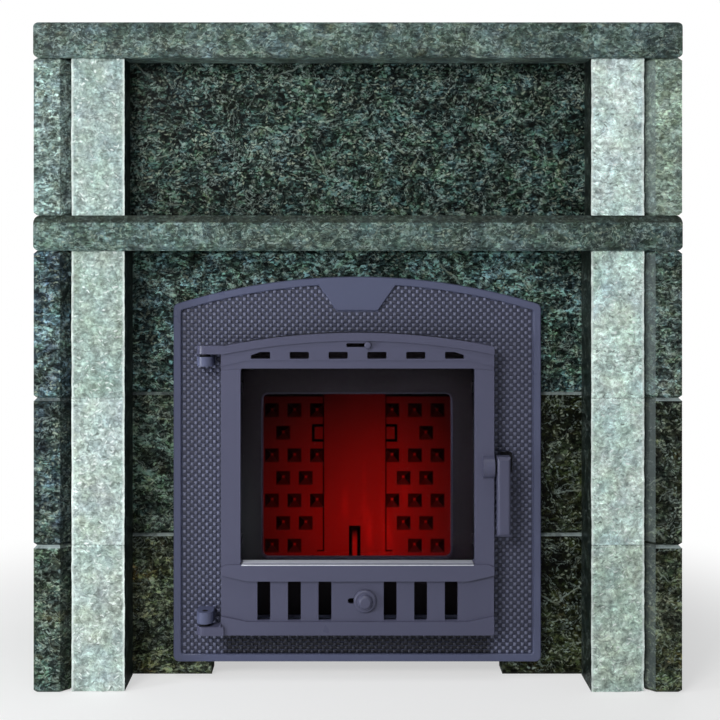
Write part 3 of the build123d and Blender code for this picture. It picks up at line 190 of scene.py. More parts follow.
camera_data = bpy.data.cameras.new("photo_camera")
camera_data.sensor_width = 36.0
camera_data.lens = 62.64
camera_data.shift_x = 0.0285
camera_data.shift_y = -0.1528
camera = bpy.data.objects.new("photo_camera", camera_data)
camera.location = (-0.025, -1.922, 0.601)
camera.rotation_euler = (math.pi / 2, 0.0, 0.0)
scene.collection.objects.link(camera)
scene.camera = camera

# Side slabs: eight blocks of dark green serpentine, 50 mm thick, sawn, honed and laid dry in
# courses. Their joints are chamfered, and a broad bevel runs down the inner front edge.
nodes = frame["nodes"]


def new_group(name, inputs, outputs):
    """Empty node group with named sockets. Returns it, its input sockets and its output node."""
    group = bpy.data.node_groups.new(name, "ShaderNodeTree")
    for label, kind, value in inputs:
        made = group.interface.new_socket(label, in_out="INPUT", socket_type="NodeSocket" + kind)
        made.default_value = value
    for label, kind in outputs:
        group.interface.new_socket(label, in_out="OUTPUT", socket_type="NodeSocket" + kind)
    start = group.nodes.new("NodeGroupInput").outputs
    end = group.nodes.new("NodeGroupOutput")
    return group, start, end


def use_group(tree, group, values):
    """One place of a node group in a material, with its own values."""
    made = tree.nodes.new("ShaderNodeGroup")
    made.node_tree = group
    wire_all(tree, made, values)
    return made.outputs


def new_material(name):
    """Material with one Principled shader. Returns the material, its tree and the shader."""
    material = bpy.data.materials.new(name)
    tree = bare_tree(material)
    shader = add_node(tree, "BsdfPrincipled")
    add_node(tree, "OutputMaterial", {"Surface": shader.outputs[0]})
    return material, tree, shader


def plus(tree, first, second):
    """Sum of two values."""
    return arithmetic(tree, "ADD", first, second)


def minus(tree, first, second):
    """Difference of two values."""
    return arithmetic(tree, "SUBTRACT", first, second)


def absolute(tree, value):
    """A value without its sign."""
    return arithmetic(tree, "ABSOLUTE", value)


def weighted(tree, *parts):
    """Sum of values counted from their middle, 0.5, each with its weight."""
    total = 0.0
    for value, weight in parts:
        total = plus(tree, times(tree, minus(tree, value, 0.5), weight), total)
    return total


def axes_of(tree, vector):
    """X, Y and Z of a vector."""
    return add_node(tree, "SeparateXYZ", {0: vector}).outputs


def vector_math(tree, operation, first, second=(0.0, 0.0, 0.0), output=0):
    """Output of one Vector Math node."""
    made = add_node(tree, "VectorMath", {0: first, 1: second}, operation=operation)
    return made.outputs[output]


def mix_colour(tree, factor, first, second, blend="MIX"):
    """Output of one Mix node in colour mode."""
    values = {0: factor, 6: first, 7: second}
    made = add_node(tree, "Mix", values, data_type="RGBA", blend_type=blend, clamp_factor=True)
    return made.outputs[2]


def tinted(tree, tone, shade, red, blue):
    """A tone made lighter or darker by a shade, and warmer or cooler by its red and its blue."""
    red = times(tree, shade, plus(tree, red, 1.0))
    blue = times(tree, shade, plus(tree, blue, 1.0))
    shaded = add_node(tree, "CombineXYZ", {0: red, 1: shade, 2: blue}).outputs[0]
    return mix_colour(tree, 1.0, tone, shaded, "MULTIPLY")


def emboss(tree, shader, height, strength, depth):
    """Gives a shader a fine relief, from a height that changes over the surface."""
    relief = {"Height": height, "Strength": strength, "Distance": depth}
    wire(tree, shader.inputs["Normal"], add_node(tree, "Bump", relief).outputs[0])


def noise(tree, place, scale, detail=3.0, roughness=0.5, output=0, distortion=0.0):
    """Output of one Noise Texture, its value or its colour."""
    values = {"Vector": place, "Scale": scale, "Detail": detail}
    values.update({"Roughness": roughness, "Distortion": distortion})
    return add_node(tree, "TexNoise", values).outputs[output]


half = (0.5, 0.5, 0.5)
seed_steps = (1.31, 0.73, 2.17)
fold_reach = (0.010, 0.010, 0.010)


def stone_place(tree, seed, fold_scale, fold_roughness):
    """Place in the block that a stone is cut from, set by its seed, with the bed in folds."""
    steps = [times(tree, seed, step) for step in seed_steps]
    shift = add_node(tree, "CombineXYZ", dict(enumerate(steps))).outputs[0]
    place = vector_math(tree, "ADD", object_place(tree), shift)
    swirl = noise(tree, place, fold_scale, 3.0, fold_roughness, "Color")
    swirl = vector_math(tree, "SUBTRACT", swirl, half)
    swirl = vector_math(tree, "MULTIPLY", swirl, fold_reach)
    return vector_math(tree, "ADD", place, swirl)


def grains(tree, place, size, turn, stretch):
    """Cells of the stone's grain, longer than wide. Returns three random values per cell."""
    lie = {"Vector": place, "Rotation": (0.0, turn, 0.0), "Scale": (1.0 / stretch, 1.0, 1.0)}
    lain = add_node(tree, "Mapping", lie).outputs[0]
    cells = add_node(tree, "TexVoronoi", {"Vector": lain, "Scale": 1.0 / size}).outputs
    return add_node(tree, "SeparateColor", {"Color": cells["Color"]}).outputs


def flakes(tree, place, cell, reach, thin, rare):
    """Thin crystals lying every way, which the sawn face cuts into short bright strokes."""
    cells = add_node(tree, "TexVoronoi", {"Vector": place, "Scale": 1.0 / cell}).outputs
    offset = vector_math(tree, "SUBTRACT", place, cells["Position"])
    lie = vector_math(tree, "SUBTRACT", cells["Color"], half)
    lie = vector_math(tree, "NORMALIZE", lie)
    depth = absolute(tree, vector_math(tree, "DOT_PRODUCT", offset, lie, "Value"))
    spread = vector_math(tree, "LENGTH", offset, output="Value")
    stroke = fade(tree, depth, thin, 0.25 * thin)
    stroke = times(tree, stroke, fade(tree, spread, reach, 0.4 * reach))
    luck = add_node(tree, "SeparateColor", {"Color": cells["Color"]}).outputs["Blue"]
    return times(tree, stroke, fade(tree, luck, rare, 1.0))


stone_inputs = [
    ("Seed", "Float", 0.0),
    ("Tone", "Color", (0.05, 0.08, 0.07, 1.0)),
    ("Pale", "Color", (0.35, 0.45, 0.4, 1.0)),
    ("Grain", "Float", 1.0),
    ("Clouds", "Float", 1.0),
    ("Flecks", "Float", 1.0),
    ("Tints", "Float", 1.0),
    ("Veins", "Float", 0.2),
    ("Rust", "Float", 0.2),
    ("Chamfer Shading", "Float", 0.0),
    ("Chamfer Shading Tone", "Color", (0.33, 0.40, 0.40, 1.0)),
    ("Bevel Shading", "Float", 0.0),
    ("Bevel Shading Tone", "Color", (0.1, 0.13, 0.125, 1.0)),
]
skin_outputs = [("Color", "Color"), ("Wear", "Float"), ("Height", "Float")]
serpentine, start, end = new_group("serpentine", stone_inputs, skin_outputs)
tree = serpentine
bent = stone_place(tree, start["Seed"], 70.0, 0.6)

# clouds of light and dark, and the grain in them
broad = noise(tree, bent, 9.0, 3.0, 0.6)
patch = noise(tree, bent, 34.0, 4.0, 0.66)
smooth = noise(tree, bent, 190.0, 2.0, 0.6)
small = grains(tree, bent, size=0.0024, turn=0.5, stretch=1.7)
large = grains(tree, bent, size=0.0052, turn=-0.7, stretch=1.8)
clouds = times(tree, weighted(tree, (broad, 4.4), (patch, 5.6)), start["Clouds"])
grain = weighted(tree, (small["Red"], 2.0), (large["Red"], 1.5), (smooth, 3.0))
level = plus(tree, clouds, times(tree, grain, start["Grain"]))
brightest = 9.0
shade = arithmetic(tree, "MINIMUM", arithmetic(tree, "EXPONENT", level), brightest)

# greens and greys, with rusty spots
tint = noise(tree, bent, 38.0, 4.0, 0.65, "Color")
tint = add_node(tree, "SeparateColor", {"Color": tint}).outputs
red = times(tree, weighted(tree, (tint["Red"], 1.1), (small["Green"], 0.3)), start["Tints"])
blue = times(tree, weighted(tree, (tint["Blue"], 2.0), (large["Green"], 0.3)), start["Tints"])
colour = tinted(tree, start["Tone"], shade, red, blue)
rust_tint = (1.5, 0.85, 0.42, 1.0)
rust = fade(tree, noise(tree, bent, 24.0, 5.0, 0.7), 0.55, 0.68)
rust = times(tree, rust, start["Rust"])
colour = mix_colour(tree, rust, colour, rust_tint, "MULTIPLY")

# pale strokes of three lengths, some of them sallow
second_spot = vector_math(tree, "ADD", bent, (0.3, 0.1, 0.2))
third_spot = vector_math(tree, "ADD", bent, (0.7, 0.4, 0.9))
short = flakes(tree, bent, cell=0.0046, reach=0.0036, thin=0.0014, rare=0.45)
middling = flakes(tree, second_spot, cell=0.0105, reach=0.0080, thin=0.0012, rare=0.5)
streak = flakes(tree, third_spot, cell=0.060, reach=0.030, thin=0.0016, rare=0.4)
strokes = highest(tree, short, times(tree, middling, 0.6))
strokes = times(tree, strokes, fade(tree, patch, 0.36, 0.6, 0.1, 1.0))
strokes = highest(tree, strokes, times(tree, streak, 0.6))
strokes = times(tree, strokes, start["Flecks"], True)
sallow_tint = (1.12, 1.02, 0.86, 1.0)
sallow = mix_colour(tree, 1.0, start["Pale"], sallow_tint, "MULTIPLY")
sallow = mix_colour(tree, fade(tree, tint["Green"], 0.44, 0.54), start["Pale"], sallow)
colour = mix_colour(tree, strokes, colour, sallow)

# thin veins along the folds
fold = noise(tree, bent, 17.0, 5.0, 0.62, distortion=1.2)
fold = absolute(tree, minus(tree, fold, 0.5))
vein = times(tree, fade(tree, fold, 0.014, 0.003), start["Veins"], True)
vein = times(tree, vein, fade(tree, small["Red"], 0.1, 0.7, 0.2, 1.0))
colour = mix_colour(tree, vein, colour, start["Pale"])

# painted light and shade on chamfers: the one over the bed joint, which looks up, and the bevel
# beside the panels
facing = axes_of(tree, add_node(tree, "TexCoord").outputs["Normal"])
forward = times(tree, facing["Y"], -1.0)
chamfer_shading = arithmetic(tree, "MINIMUM", facing["Z"], forward)
chamfer_shading = times(tree, fade(tree, chamfer_shading, 0.45, 0.6), start["Chamfer Shading"])
chamfer_shading = times(tree, chamfer_shading, fade(tree, patch, 0.34, 0.5, 0.45, 1.0))
colour = mix_colour(tree, chamfer_shading, colour, start["Chamfer Shading Tone"])
bevel_shade_mask = arithmetic(tree, "MINIMUM", absolute(tree, facing["X"]), forward)
bevel_shade_mask = times(tree, fade(tree, bevel_shade_mask, 0.45, 0.6), start["Bevel Shading"])
colour = mix_colour(tree, bevel_shade_mask, colour, start["Bevel Shading Tone"])
height = plus(tree, smooth, times(tree, strokes, 0.4))
wire_all(tree, end, {"Color": colour, "Wear": strokes, "Height": height})

lichen = (0.50, 0.63, 0.57)
lit_chamfer_green = (0.33, 0.40, 0.40)
lit_bevel_grey = (0.10, 0.125, 0.125)


# edge and edge_tone paint light and shade on the chamfers that look up, bevel and its tone on the
# bevel beside the panels
def stone(name, seed, tone, grain=1.1, clouds=0.7, flecks=0.45, tints=0.7, veins=0.2, rust=0.2,
          edge=0.0, edge_tone=lit_chamfer_green, bevel=0.0, bevel_tone=lit_bevel_grey):
    """Honed serpentine with its own tone, cut from its own spot in the block."""
    material, tree, shader = new_material(name)
    values = {"Seed": seed, "Tone": (*tone, 1.0), "Pale": (*lichen, 1.0), "Grain": grain}
    values.update({"Clouds": clouds, "Flecks": flecks, "Tints": tints, "Veins": veins})
    values.update({"Rust": rust, "Chamfer Shading": edge, "Chamfer Shading Tone": (*edge_tone, 1.0)})
    values.update({"Bevel Shading": bevel, "Bevel Shading Tone": (*bevel_tone, 1.0)})
    pattern = use_group(tree, serpentine, values)
    gloss = fade(tree, pattern["Wear"], 0.0, 1.0, 0.4, 0.58)
    look = {"Base Color": pattern["Color"], "Roughness": gloss, "Specular IOR Level": 0.05}
    wire_all(tree, shader, look)
    emboss(tree, shader, pattern["Height"], 0.25, 0.0006)
    return material


def dress(material, *names):
    """Gives CAD nodes their finish and leaves their meshes alone."""
    for name in names:
        for place in nodes[name].material_slots:
            place.material = material


# painted light and shade: the bevels beside the panels take tones of their own by the way they
# face, and edge paints the chamfers over the bed joints paler
shaded_bevel = dict(bevel=0.4, bevel_tone=(0.012, 0.018, 0.017))
slab_looks = {
    "side_slab_left_1": dict(
        shaded_bevel, seed=1.3, tone=(0.030, 0.044, 0.033), clouds=0.5, rust=0.5, edge=0.8),
    "side_slab_left_2": dict(
        shaded_bevel, seed=2.9, tone=(0.019, 0.029, 0.029), rust=0.1, edge=0.3),
    "side_slab_left_3": dict(
        shaded_bevel, seed=4.1, tone=(0.038, 0.061, 0.067), clouds=0.9, rust=0.1),
    "side_slab_left_4": dict(
        seed=5.7, tone=(0.102, 0.143, 0.135), grain=0.8, clouds=0.6, tints=0.3, veins=0.5,
        bevel=0.1, bevel_tone=(0.030, 0.042, 0.040)),
    "side_slab_right_1": dict(
        seed=6.2, tone=(0.024, 0.029, 0.017), clouds=0.8, rust=0.7, edge=0.8, bevel=0.55),
    "side_slab_right_2": dict(
        seed=7.8, tone=(0.017, 0.022, 0.015), clouds=1.0, rust=0.5, edge=0.8, bevel=0.55),
    "side_slab_right_3": dict(
        seed=8.4, tone=(0.045, 0.066, 0.057), clouds=0.8, rust=0.3, bevel=0.65),
    "side_slab_right_4": dict(
        seed=9.6, tone=(0.208, 0.276, 0.229), grain=0.6, clouds=0.4, tints=0.3, rust=0.1,
        bevel=0.65),
}
for name, look in slab_looks.items():
    dress(stone(name, **look), name)

# Recessed panels: the frieze, the lintel and four jambs are the darkest serpentine, honed,
# 40 mm thick, set back between the side slabs and held by angles screwed on from behind.
panel_looks = {
    "frieze_panel": dict(
        seed=12.1, tone=(0.011, 0.020, 0.017), grain=1.6, flecks=0.5, veins=0.3, rust=0.35),
    "lintel_panel": dict(
        seed=13.7, tone=(0.031, 0.055, 0.050), grain=1.55, clouds=0.85, veins=0.3, rust=0.3),
    "jamb_left_2": dict(
        seed=14.9, tone=(0.019, 0.030, 0.022), grain=1.3, clouds=1.4, rust=0.4, edge=0.35),
    "jamb_left_1": dict(
        seed=15.4, tone=(0.034, 0.041, 0.024), grain=1.3, clouds=1.1, rust=0.8, edge=0.6),
    "jamb_right_2": dict(
        seed=16.8, tone=(0.007, 0.009, 0.004), clouds=1.2, rust=0.5, edge=0.6),
    "jamb_right_1": dict(
        seed=17.2, tone=(0.007, 0.009, 0.004), clouds=1.2, rust=0.5, edge=0.7),
}
for name, look in panel_looks.items():
    dress(stone(name, **look), name)

# Shelf and cornice: slabs of a greyer serpentine laid flat on the courses, with bevelled front
# edges and rounded ends. The cornice is a ring of four, open in the middle for the flue.
greyer = dict(grain=0.62, clouds=0.5, flecks=0.38, tints=0.4, veins=0.3)
# painted shade: the belt's chamfers that look up and forward are painted dark
shaded_arris = dict(edge=0.7, edge_tone=(0.018, 0.020, 0.015))
belt_look = dict(greyer, **shaded_arris, tone=(0.063, 0.094, 0.085))
cornice_look = dict(greyer, tone=(0.063, 0.092, 0.084))
shelf_looks = {
    "belt_front": dict(belt_look, seed=21.3, rust=0.1),
    "belt_left": dict(belt_look, seed=22.9),
    "belt_right": dict(belt_look, seed=23.4),
    "cornice_front": dict(cornice_look, seed=24.8, rust=0.3),
    "cornice_left": dict(cornice_look, seed=25.5),
    "cornice_right": dict(cornice_look, seed=26.1),
    "cornice_rear": dict(cornice_look, seed=27.7),
}
for name, look in shelf_looks.items():
    dress(stone(name, **look), name)

# Pilaster strips: eight blocks of the same stone, sawn dark and smooth on their sides and split
# on the front, where the rough face looks pale and is whitest along its arrises.
split_inputs = [
    ("Seed", "Float", 0.0),
    ("Tone", "Color", (0.45, 0.52, 0.48, 1.0)),
    ("Middle", "Float", 0.3536),
    ("Half Width", "Float", 0.036),
    ("Bed", "Float", 0.0),
]
dull_tint = (0.80, 0.80, 0.86, 1.0)
pit_green = (0.10, 0.13, 0.115, 1.0)
spark_white = (0.82, 0.88, 0.86, 1.0)
crease_shade_green = (0.15, 0.19, 0.18, 1.0)
arris_white = (0.72, 0.80, 0.77, 1.0)
bed_green = (0.10, 0.14, 0.13, 1.0)
arris_width, arris_core = 0.0040, 0.0012
bed_width, bed_core = 0.0015, 0.0004
crumbling = 0.006
split_stone, start, end = new_group("split_stone", split_inputs, skin_outputs)
tree = split_stone
bent = stone_place(tree, start["Seed"], 80.0, 0.55)
slanted = {"Vector": bent, "Rotation": (0.0, 0.62, 0.0), "Scale": (0.4, 1.0, 1.0)}
slanted = add_node(tree, "Mapping", slanted).outputs[0]

# light and dark of the rough face, a little green or grey, dull in places
broad = noise(tree, bent, 16.0, 3.0, 0.6)
patch = noise(tree, slanted, 115.0, 4.0, 0.62)
crumb = noise(tree, bent, 280.0, 3.0, 0.6, distortion=0.5)
small = grains(tree, bent, size=0.0030, turn=0.4, stretch=1.5)
level = weighted(tree, (broad, 0.6), (patch, 1.6), (crumb, 2.0), (small["Red"], 0.5))
shade = arithmetic(tree, "EXPONENT", level)
tint = noise(tree, bent, 30.0, 4.0, 0.6, "Color")
tint = add_node(tree, "SeparateColor", {"Color": tint}).outputs
red, blue = weighted(tree, (tint["Red"], 0.35)), weighted(tree, (tint["Blue"], 0.4))
colour = tinted(tree, start["Tone"], shade, red, blue)
dull = fade(tree, noise(tree, bent, 26.0, 4.0, 0.62), 0.53, 0.64, 0.0, 0.7)
colour = mix_colour(tree, dull, colour, dull_tint, "MULTIPLY")

# dark pits, bright crystals, and painted shade in the creases between the splits
second_spot = vector_math(tree, "ADD", bent, (0.4, 0.2, 0.6))
pits = flakes(tree, bent, cell=0.0075, reach=0.0040, thin=0.0016, rare=0.6)
sparks = flakes(tree, second_spot, cell=0.0060, reach=0.0040, thin=0.0012, rare=0.5)
colour = mix_colour(tree, times(tree, pits, 0.8), colour, pit_green)
colour = mix_colour(tree, times(tree, sparks, 0.8), colour, spark_white)
crease = noise(tree, slanted, 24.0, 4.0, 0.6, distortion=0.5)
crease = absolute(tree, minus(tree, crease, 0.5))
crease = fade(tree, crease, 0.018, 0.001, 0.0, 0.6)
crease = times(tree, crease, fade(tree, broad, 0.45, 0.6))
colour = mix_colour(tree, crease, colour, crease_shade_green)

# white ragged arrises at both sides, and the dark line of the bed joint
reach = axes_of(tree, object_place(tree))
ragged = times(tree, minus(tree, crumb, 0.5), crumbling)
across = minus(tree, absolute(tree, reach["X"]), start["Middle"])
arris = minus(tree, start["Half Width"], absolute(tree, across))
arris = fade(tree, plus(tree, arris, ragged), arris_width, arris_core, 0.0, 0.7)
colour = mix_colour(tree, arris, colour, arris_white)
bed = absolute(tree, minus(tree, reach["Z"], start["Bed"]))
bed = fade(tree, plus(tree, bed, ragged), bed_width, bed_core, 0.0, 0.7)
colour = mix_colour(tree, bed, colour, bed_green)
height = plus(tree, crumb, times(tree, crease, -1.5))
wire_all(tree, end, {"Color": colour, "Wear": crumb, "Height": height})


def unpick(piece):
    """Deselects every point, edge and face of a piece that is in object mode."""
    for parts in (piece.data.vertices, piece.data.edges, piece.data.polygons):
        parts.foreach_set("select", [False] * len(parts))


def pick_faces(piece, test):
    """Leaves the piece in edit mode with only the faces that pass the test selected."""
    bpy.ops.object.mode_set(mode="OBJECT")
    unpick(piece)
    for face in piece.data.polygons:
        face.select = bool(test(face.center, face.normal))
    bpy.ops.object.mode_set(mode="EDIT")
    bpy.ops.mesh.select_mode(type="FACE")


def looks_forward(centre, normal):
    """True for a face that looks to the front."""
    return normal.y < -0.9


def add_block(name, low, high):
    """Block between two corners, alone in the selection."""
    bpy.ops.object.select_all(action="DESELECT")
    middle = [(a + b) / 2 for a, b in zip(low, high)]
    size = [b - a for a, b in zip(low, high)]
    bpy.ops.mesh.primitive_cube_add(size=1.0, location=middle, scale=size)
    bpy.ops.object.transform_apply(location=True, rotation=True, scale=True)
    piece = bpy.context.object
    piece.name = name
    return piece


def apply_modifiers(piece):
    """Applies every modifier of the piece in order."""
    bpy.ops.object.mode_set(mode="OBJECT")
    for modifier in list(piece.modifiers):
        bpy.ops.object.modifier_apply(modifier=modifier.name)


def roughen(piece, group, label, kind, size, depth, level):
    """Displace modifier along Y from a procedural texture."""
    texture = bpy.data.textures.new(label, kind)
    texture.noise_scale = size
    modifier = piece.modifiers.new(label, "DISPLACE")
    modifier.texture = texture
    modifier.texture_coords = "GLOBAL"
    modifier.direction = "Y"
    modifier.mid_level = level
    modifier.strength = depth
    modifier.vertex_group = group


pilaster_looks = {
    "pilaster_left_1": (31.1, (0.35, 0.43, 0.39)),
    "pilaster_left_2": (32.7, (0.35, 0.43, 0.40)),
    "pilaster_left_3": (33.2, (0.269, 0.35, 0.31)),
    "pilaster_left_4": (34.9, (0.32, 0.41, 0.38)),
    "pilaster_right_1": (35.3, (0.40, 0.50, 0.44)),
    "pilaster_right_2": (36.8, (0.48, 0.60, 0.55)),
    "pilaster_right_3": (37.4, (0.51, 0.65, 0.60)),
    "pilaster_right_4": (38.6, (0.56, 0.69, 0.66)),
}
split_relief = (
    ("broad_split", "CLOUDS", 0.045, 0.0075, 0.62),
    ("facets", "VORONOI", 0.012, 0.0032, 0.3),
    ("crumbs", "CLOUDS", 0.0035, 0.0016, 0.5),
)
split_cuts = 43
split_depth = 0.006
flush = 1e-5
sawn_green = (0.0035, 0.0060, 0.0055)
for name, (seed, tone) in pilaster_looks.items():
    low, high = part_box(name)
    piece = add_block(name + "_stone", low, high)
    bpy.ops.object.mode_set(mode="EDIT")
    for third in (1, 2):
        bpy.ops.mesh.select_all(action="SELECT")
        level = low.z + (high.z - low.z) * third / 3
        bpy.ops.mesh.bisect(plane_co=(0.0, 0.0, level), plane_no=(0.0, 0.0, 1.0))
    pick_faces(piece, looks_forward)
    bpy.ops.mesh.subdivide(number_cuts=split_cuts)
    bpy.ops.object.mode_set(mode="OBJECT")
    front = piece.vertex_groups.new(name="split_front")
    on_face = [point.index for point in piece.data.vertices if point.co.y < low.y + flush]
    front.add(on_face, 1.0, "REPLACE")
    for relief in split_relief:
        roughen(piece, front.name, *relief)
    apply_modifiers(piece)
    bpy.ops.object.shade_smooth_by_angle(angle=math.radians(28.0))
    material, tree, shader = new_material(name + "_split")
    values = {"Seed": seed, "Tone": (*tone, 1.0), "Bed": high.z}
    values.update({"Middle": abs(low.x + high.x) / 2, "Half Width": (high.x - low.x) / 2})
    pattern = use_group(tree, split_stone, values)
    gloss = fade(tree, pattern["Wear"], 0.2, 0.8, 0.6, 0.85)
    look = {"Base Color": pattern["Color"], "Roughness": gloss, "Specular IOR Level": 0.3}
    wire_all(tree, shader, look)
    emboss(tree, shader, pattern["Height"], 0.6, 0.0012)
    piece.data.materials.append(material)
    piece.data.materials.append(stone(name + "_sawn", seed, sawn_green, clouds=0.3, flecks=0.1))
    for face in piece.data.polygons:
        split = face.center.y < low.y + split_depth and face.normal.y < -0.2
        face.material_index = 0 if split else 1
    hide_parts(name)
    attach(piece, "casing")

# Steel behind the stone: pressed angles and zinc-plated screws tie the panels to the slabs, and
# a folded sheet closes the back. The angles and the sheet are painted black.
paint_inputs = [
    ("Paint", "Color", (0.03, 0.03, 0.032, 1.0)),
    ("Grain Size", "Float", 0.002),
    ("Mottle", "Float", 0.2),
]
painted_skin, start, end = new_group("painted_skin", paint_inputs, skin_outputs)
tree = painted_skin
place = object_place(tree)
grain_scale = arithmetic(tree, "DIVIDE", 1.0, start["Grain Size"])
grain = noise(tree, place, grain_scale, 3.0, 0.6)
broad = noise(tree, place, 9.0, 4.0, 0.6)
tone = times(tree, minus(tree, broad, 0.5), start["Mottle"])
tone = plus(tree, plus(tree, tone, times(tree, grain, 0.08)), 0.96)


def dimmed(tree, colour, amount):
    """A colour made darker or brighter by an amount that changes over the surface."""
    values = {0: colour, "Scale": amount}
    return add_node(tree, "VectorMath", values, operation="SCALE").outputs[0]


colour = dimmed(tree, start["Paint"], tone)
wire_all(tree, end, {"Color": colour, "Wear": broad, "Height": grain})


def metal(name, paint, grain, mottle, roughness, relief, metallic=0.0, specular=0.5):
    """Cast or painted metal with a fine grain in its skin."""
    material, tree, shader = new_material(name)
    values = {"Paint": (*paint, 1.0), "Grain Size": grain, "Mottle": mottle}
    pattern = use_group(tree, painted_skin, values)
    gloss = fade(tree, pattern["Wear"], 0.3, 0.7, roughness - 0.04, roughness + 0.06)
    wire_all(tree, shader, {"Base Color": pattern["Color"], "Roughness": gloss})
    wire_all(tree, shader, {"Metallic": metallic, "Specular IOR Level": specular})
    emboss(tree, shader, pattern["Height"], 0.4, relief)
    return material


black_paint = metal(
    "black_stove_paint", (0.018, 0.018, 0.02), grain=0.0012, mottle=0.3, roughness=0.62,
    relief=0.0002)
zinc = metal(
    "zinc_plate", (0.52, 0.53, 0.55), grain=0.0007, mottle=0.25, roughness=0.34,
    relief=0.00008, metallic=0.9)
dress(black_paint, "corner_brackets", "rear_shield")
dress(zinc, "casing_screws")

# Firebox: black iron castings bolted into a box on a welded stand. The hearth plate and its
# grate lie below, and the top plate carries the collar and the pipe of the flue.
firebox_iron = metal(
    "firebox_iron", (0.008, 0.007, 0.008), grain=0.0016, mottle=0.4, roughness=0.66,
    relief=0.0004, specular=0.1)
dress(firebox_iron, "firebox_floor", "firebox_grate", "cheek_left", "cheek_right")
dress(firebox_iron, "top_plate", "flue_collar")
dress(black_paint, "firebox_stand", "flue_pipe")

# Back plate and flue panel: iron castings bolted in at the back of the fire. The fire's red glow
# on them is painted in as emission, brightest low on the right, and painted shade keeps the
# pyramid pockets, the grooves round the two lugs, the slot and what lies behind the panel dark.
plate_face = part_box("back_plate")[0].y
panel_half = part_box("flue_panel")[1].x
fire_x, fire_z = 0.040, 0.150
fire_left, fire_right, fire_rise = 0.30, 0.20, 0.29
pocket_lip, pocket_tip = 0.0004, 0.0116
panel_lap, lit_top = 0.0100, 0.3600
slot_start, slot_end = plate_face - 0.012, plate_face - 0.009
bar_half, bar_top, bar_full = 0.0052, 0.143, 0.120
lug_frame, lug_shade_width = (0.0300, 0.0706, 0.2848, 0.3142), 0.0048
notch_frame, notch_shade_width = (0.0672, 0.0704, 0.0800, 0.0985), 0.0032
slot_frame, slot_shade_width = (-0.0095, 0.0095, 0.0200, 0.1500), 0.0030
dull_red, bright_red = (0.009, 0.0006, 0.0005, 1.0), (0.19, 0.0015, 0.0009, 1.0)
charred_red = (0.006, 0.003, 0.003, 1.0)
glow_painted_iron, tree, shader = new_material("glow_painted_iron")
place = object_place(tree)
axes = axes_of(tree, place)
faces = axes_of(tree, add_node(tree, "TexCoord").outputs["Normal"])

# painted glow, which falls off from the middle of the fire
breath = minus(tree, noise(tree, place, 9.0, 3.0, 0.5), 0.5)
off_side = minus(tree, axes["X"], fire_x)
left_off = arithmetic(tree, "DIVIDE", arithmetic(tree, "MINIMUM", off_side, 0.0), fire_left)
right_off = arithmetic(tree, "DIVIDE", highest(tree, off_side, 0.0), fire_right)
high_off = arithmetic(tree, "DIVIDE", minus(tree, axes["Z"], fire_z), fire_rise)
away = 0.0
for off in (left_off, right_off, high_off):
    away = plus(tree, away, times(tree, off, off))
away = plus(tree, arithmetic(tree, "SQRT", away), times(tree, breath, 0.2))
glow_falloff = fade(tree, away, 0.95, -0.12)

# the pockets: painted light and shade, each sloping wall getting its own share of the glow by the
# way it faces, and the tip the most
depth = minus(tree, axes["Y"], plate_face)
in_pocket = fade(tree, depth, pocket_lip, 3.0 * pocket_lip)
side_off = absolute(tree, axes["X"])
outward = arithmetic(tree, "DIVIDE", times(tree, faces["X"], axes["X"]), side_off)
outer_wall = fade(tree, outward, 0.3, 0.6, 0.02, 0.13)
lower_wall = fade(tree, faces["Z"], 0.3, 0.6, 0.0, 0.24)
upper_wall = fade(tree, faces["Z"], -0.3, -0.6)
upper_wall = times(tree, upper_wall, fade(tree, axes["Z"], 0.29, 0.22, 0.02, 0.13))
apex = fade(tree, depth, pocket_tip - 0.0012, pocket_tip, 0.0, 1.5)
painted_pocket_light = highest(tree, outer_wall, lower_wall, upper_wall, apex)
painted_pocket_light = plus(tree, times(tree, minus(tree, painted_pocket_light, 1.0), in_pocket), 1.0)


def painted_shade_line(tree, frame, width):
    """1 on a line drawn inside a frame of X and Z limits, 0 off it."""
    low_x, high_x, low_z, high_z = frame
    spans = []
    for value, low, high in ((side_off, low_x, high_x), (axes["Z"], low_z, high_z)):
        reach = absolute(tree, minus(tree, value, (low + high) / 2))
        spans.append(minus(tree, reach, (high - low) / 2))
    past = absolute(tree, plus(tree, highest(tree, *spans), width / 2))
    return fade(tree, past, 0.62 * width, 0.40 * width)


# painted shade on the plate: lines round the lugs and the notches, and what is high up or behind
# the panel
beside = fade(tree, side_off, panel_half - panel_lap, panel_half - panel_lap + 0.0010)
under_top = fade(tree, axes["Z"], lit_top, lit_top - 0.0015)
lug_line = painted_shade_line(tree, lug_frame, lug_shade_width)
notch_line = painted_shade_line(tree, notch_frame, notch_shade_width)
unshaded = minus(tree, 1.0, highest(tree, lug_line, notch_line))
plate_lit = times(tree, times(tree, times(tree, beside, under_top), unshaded), painted_pocket_light)

# painted shade on the panel: a line round the slot and the slot's floor, with a painted lit bar up
# its middle
on_panel = fade(tree, axes["Y"], plate_face - 0.001, plate_face - 0.002)
slot_line = painted_shade_line(tree, slot_frame, slot_shade_width)
slot_floor = times(tree, fade(tree, axes["Y"], slot_start, slot_end), on_panel)
slot_bar = fade(tree, side_off, bar_half, bar_half - 0.0030, 0.0, 1.5)
slot_bar = times(tree, slot_bar, fade(tree, axes["Z"], bar_top, bar_full))
panel_lit = times(tree, minus(tree, 1.0, slot_line), minus(tree, 1.0, slot_floor))
panel_lit = plus(tree, panel_lit, times(tree, slot_bar, on_panel))
lit = times(tree, plate_lit, minus(tree, 1.0, on_panel))
lit = plus(tree, lit, times(tree, panel_lit, on_panel))
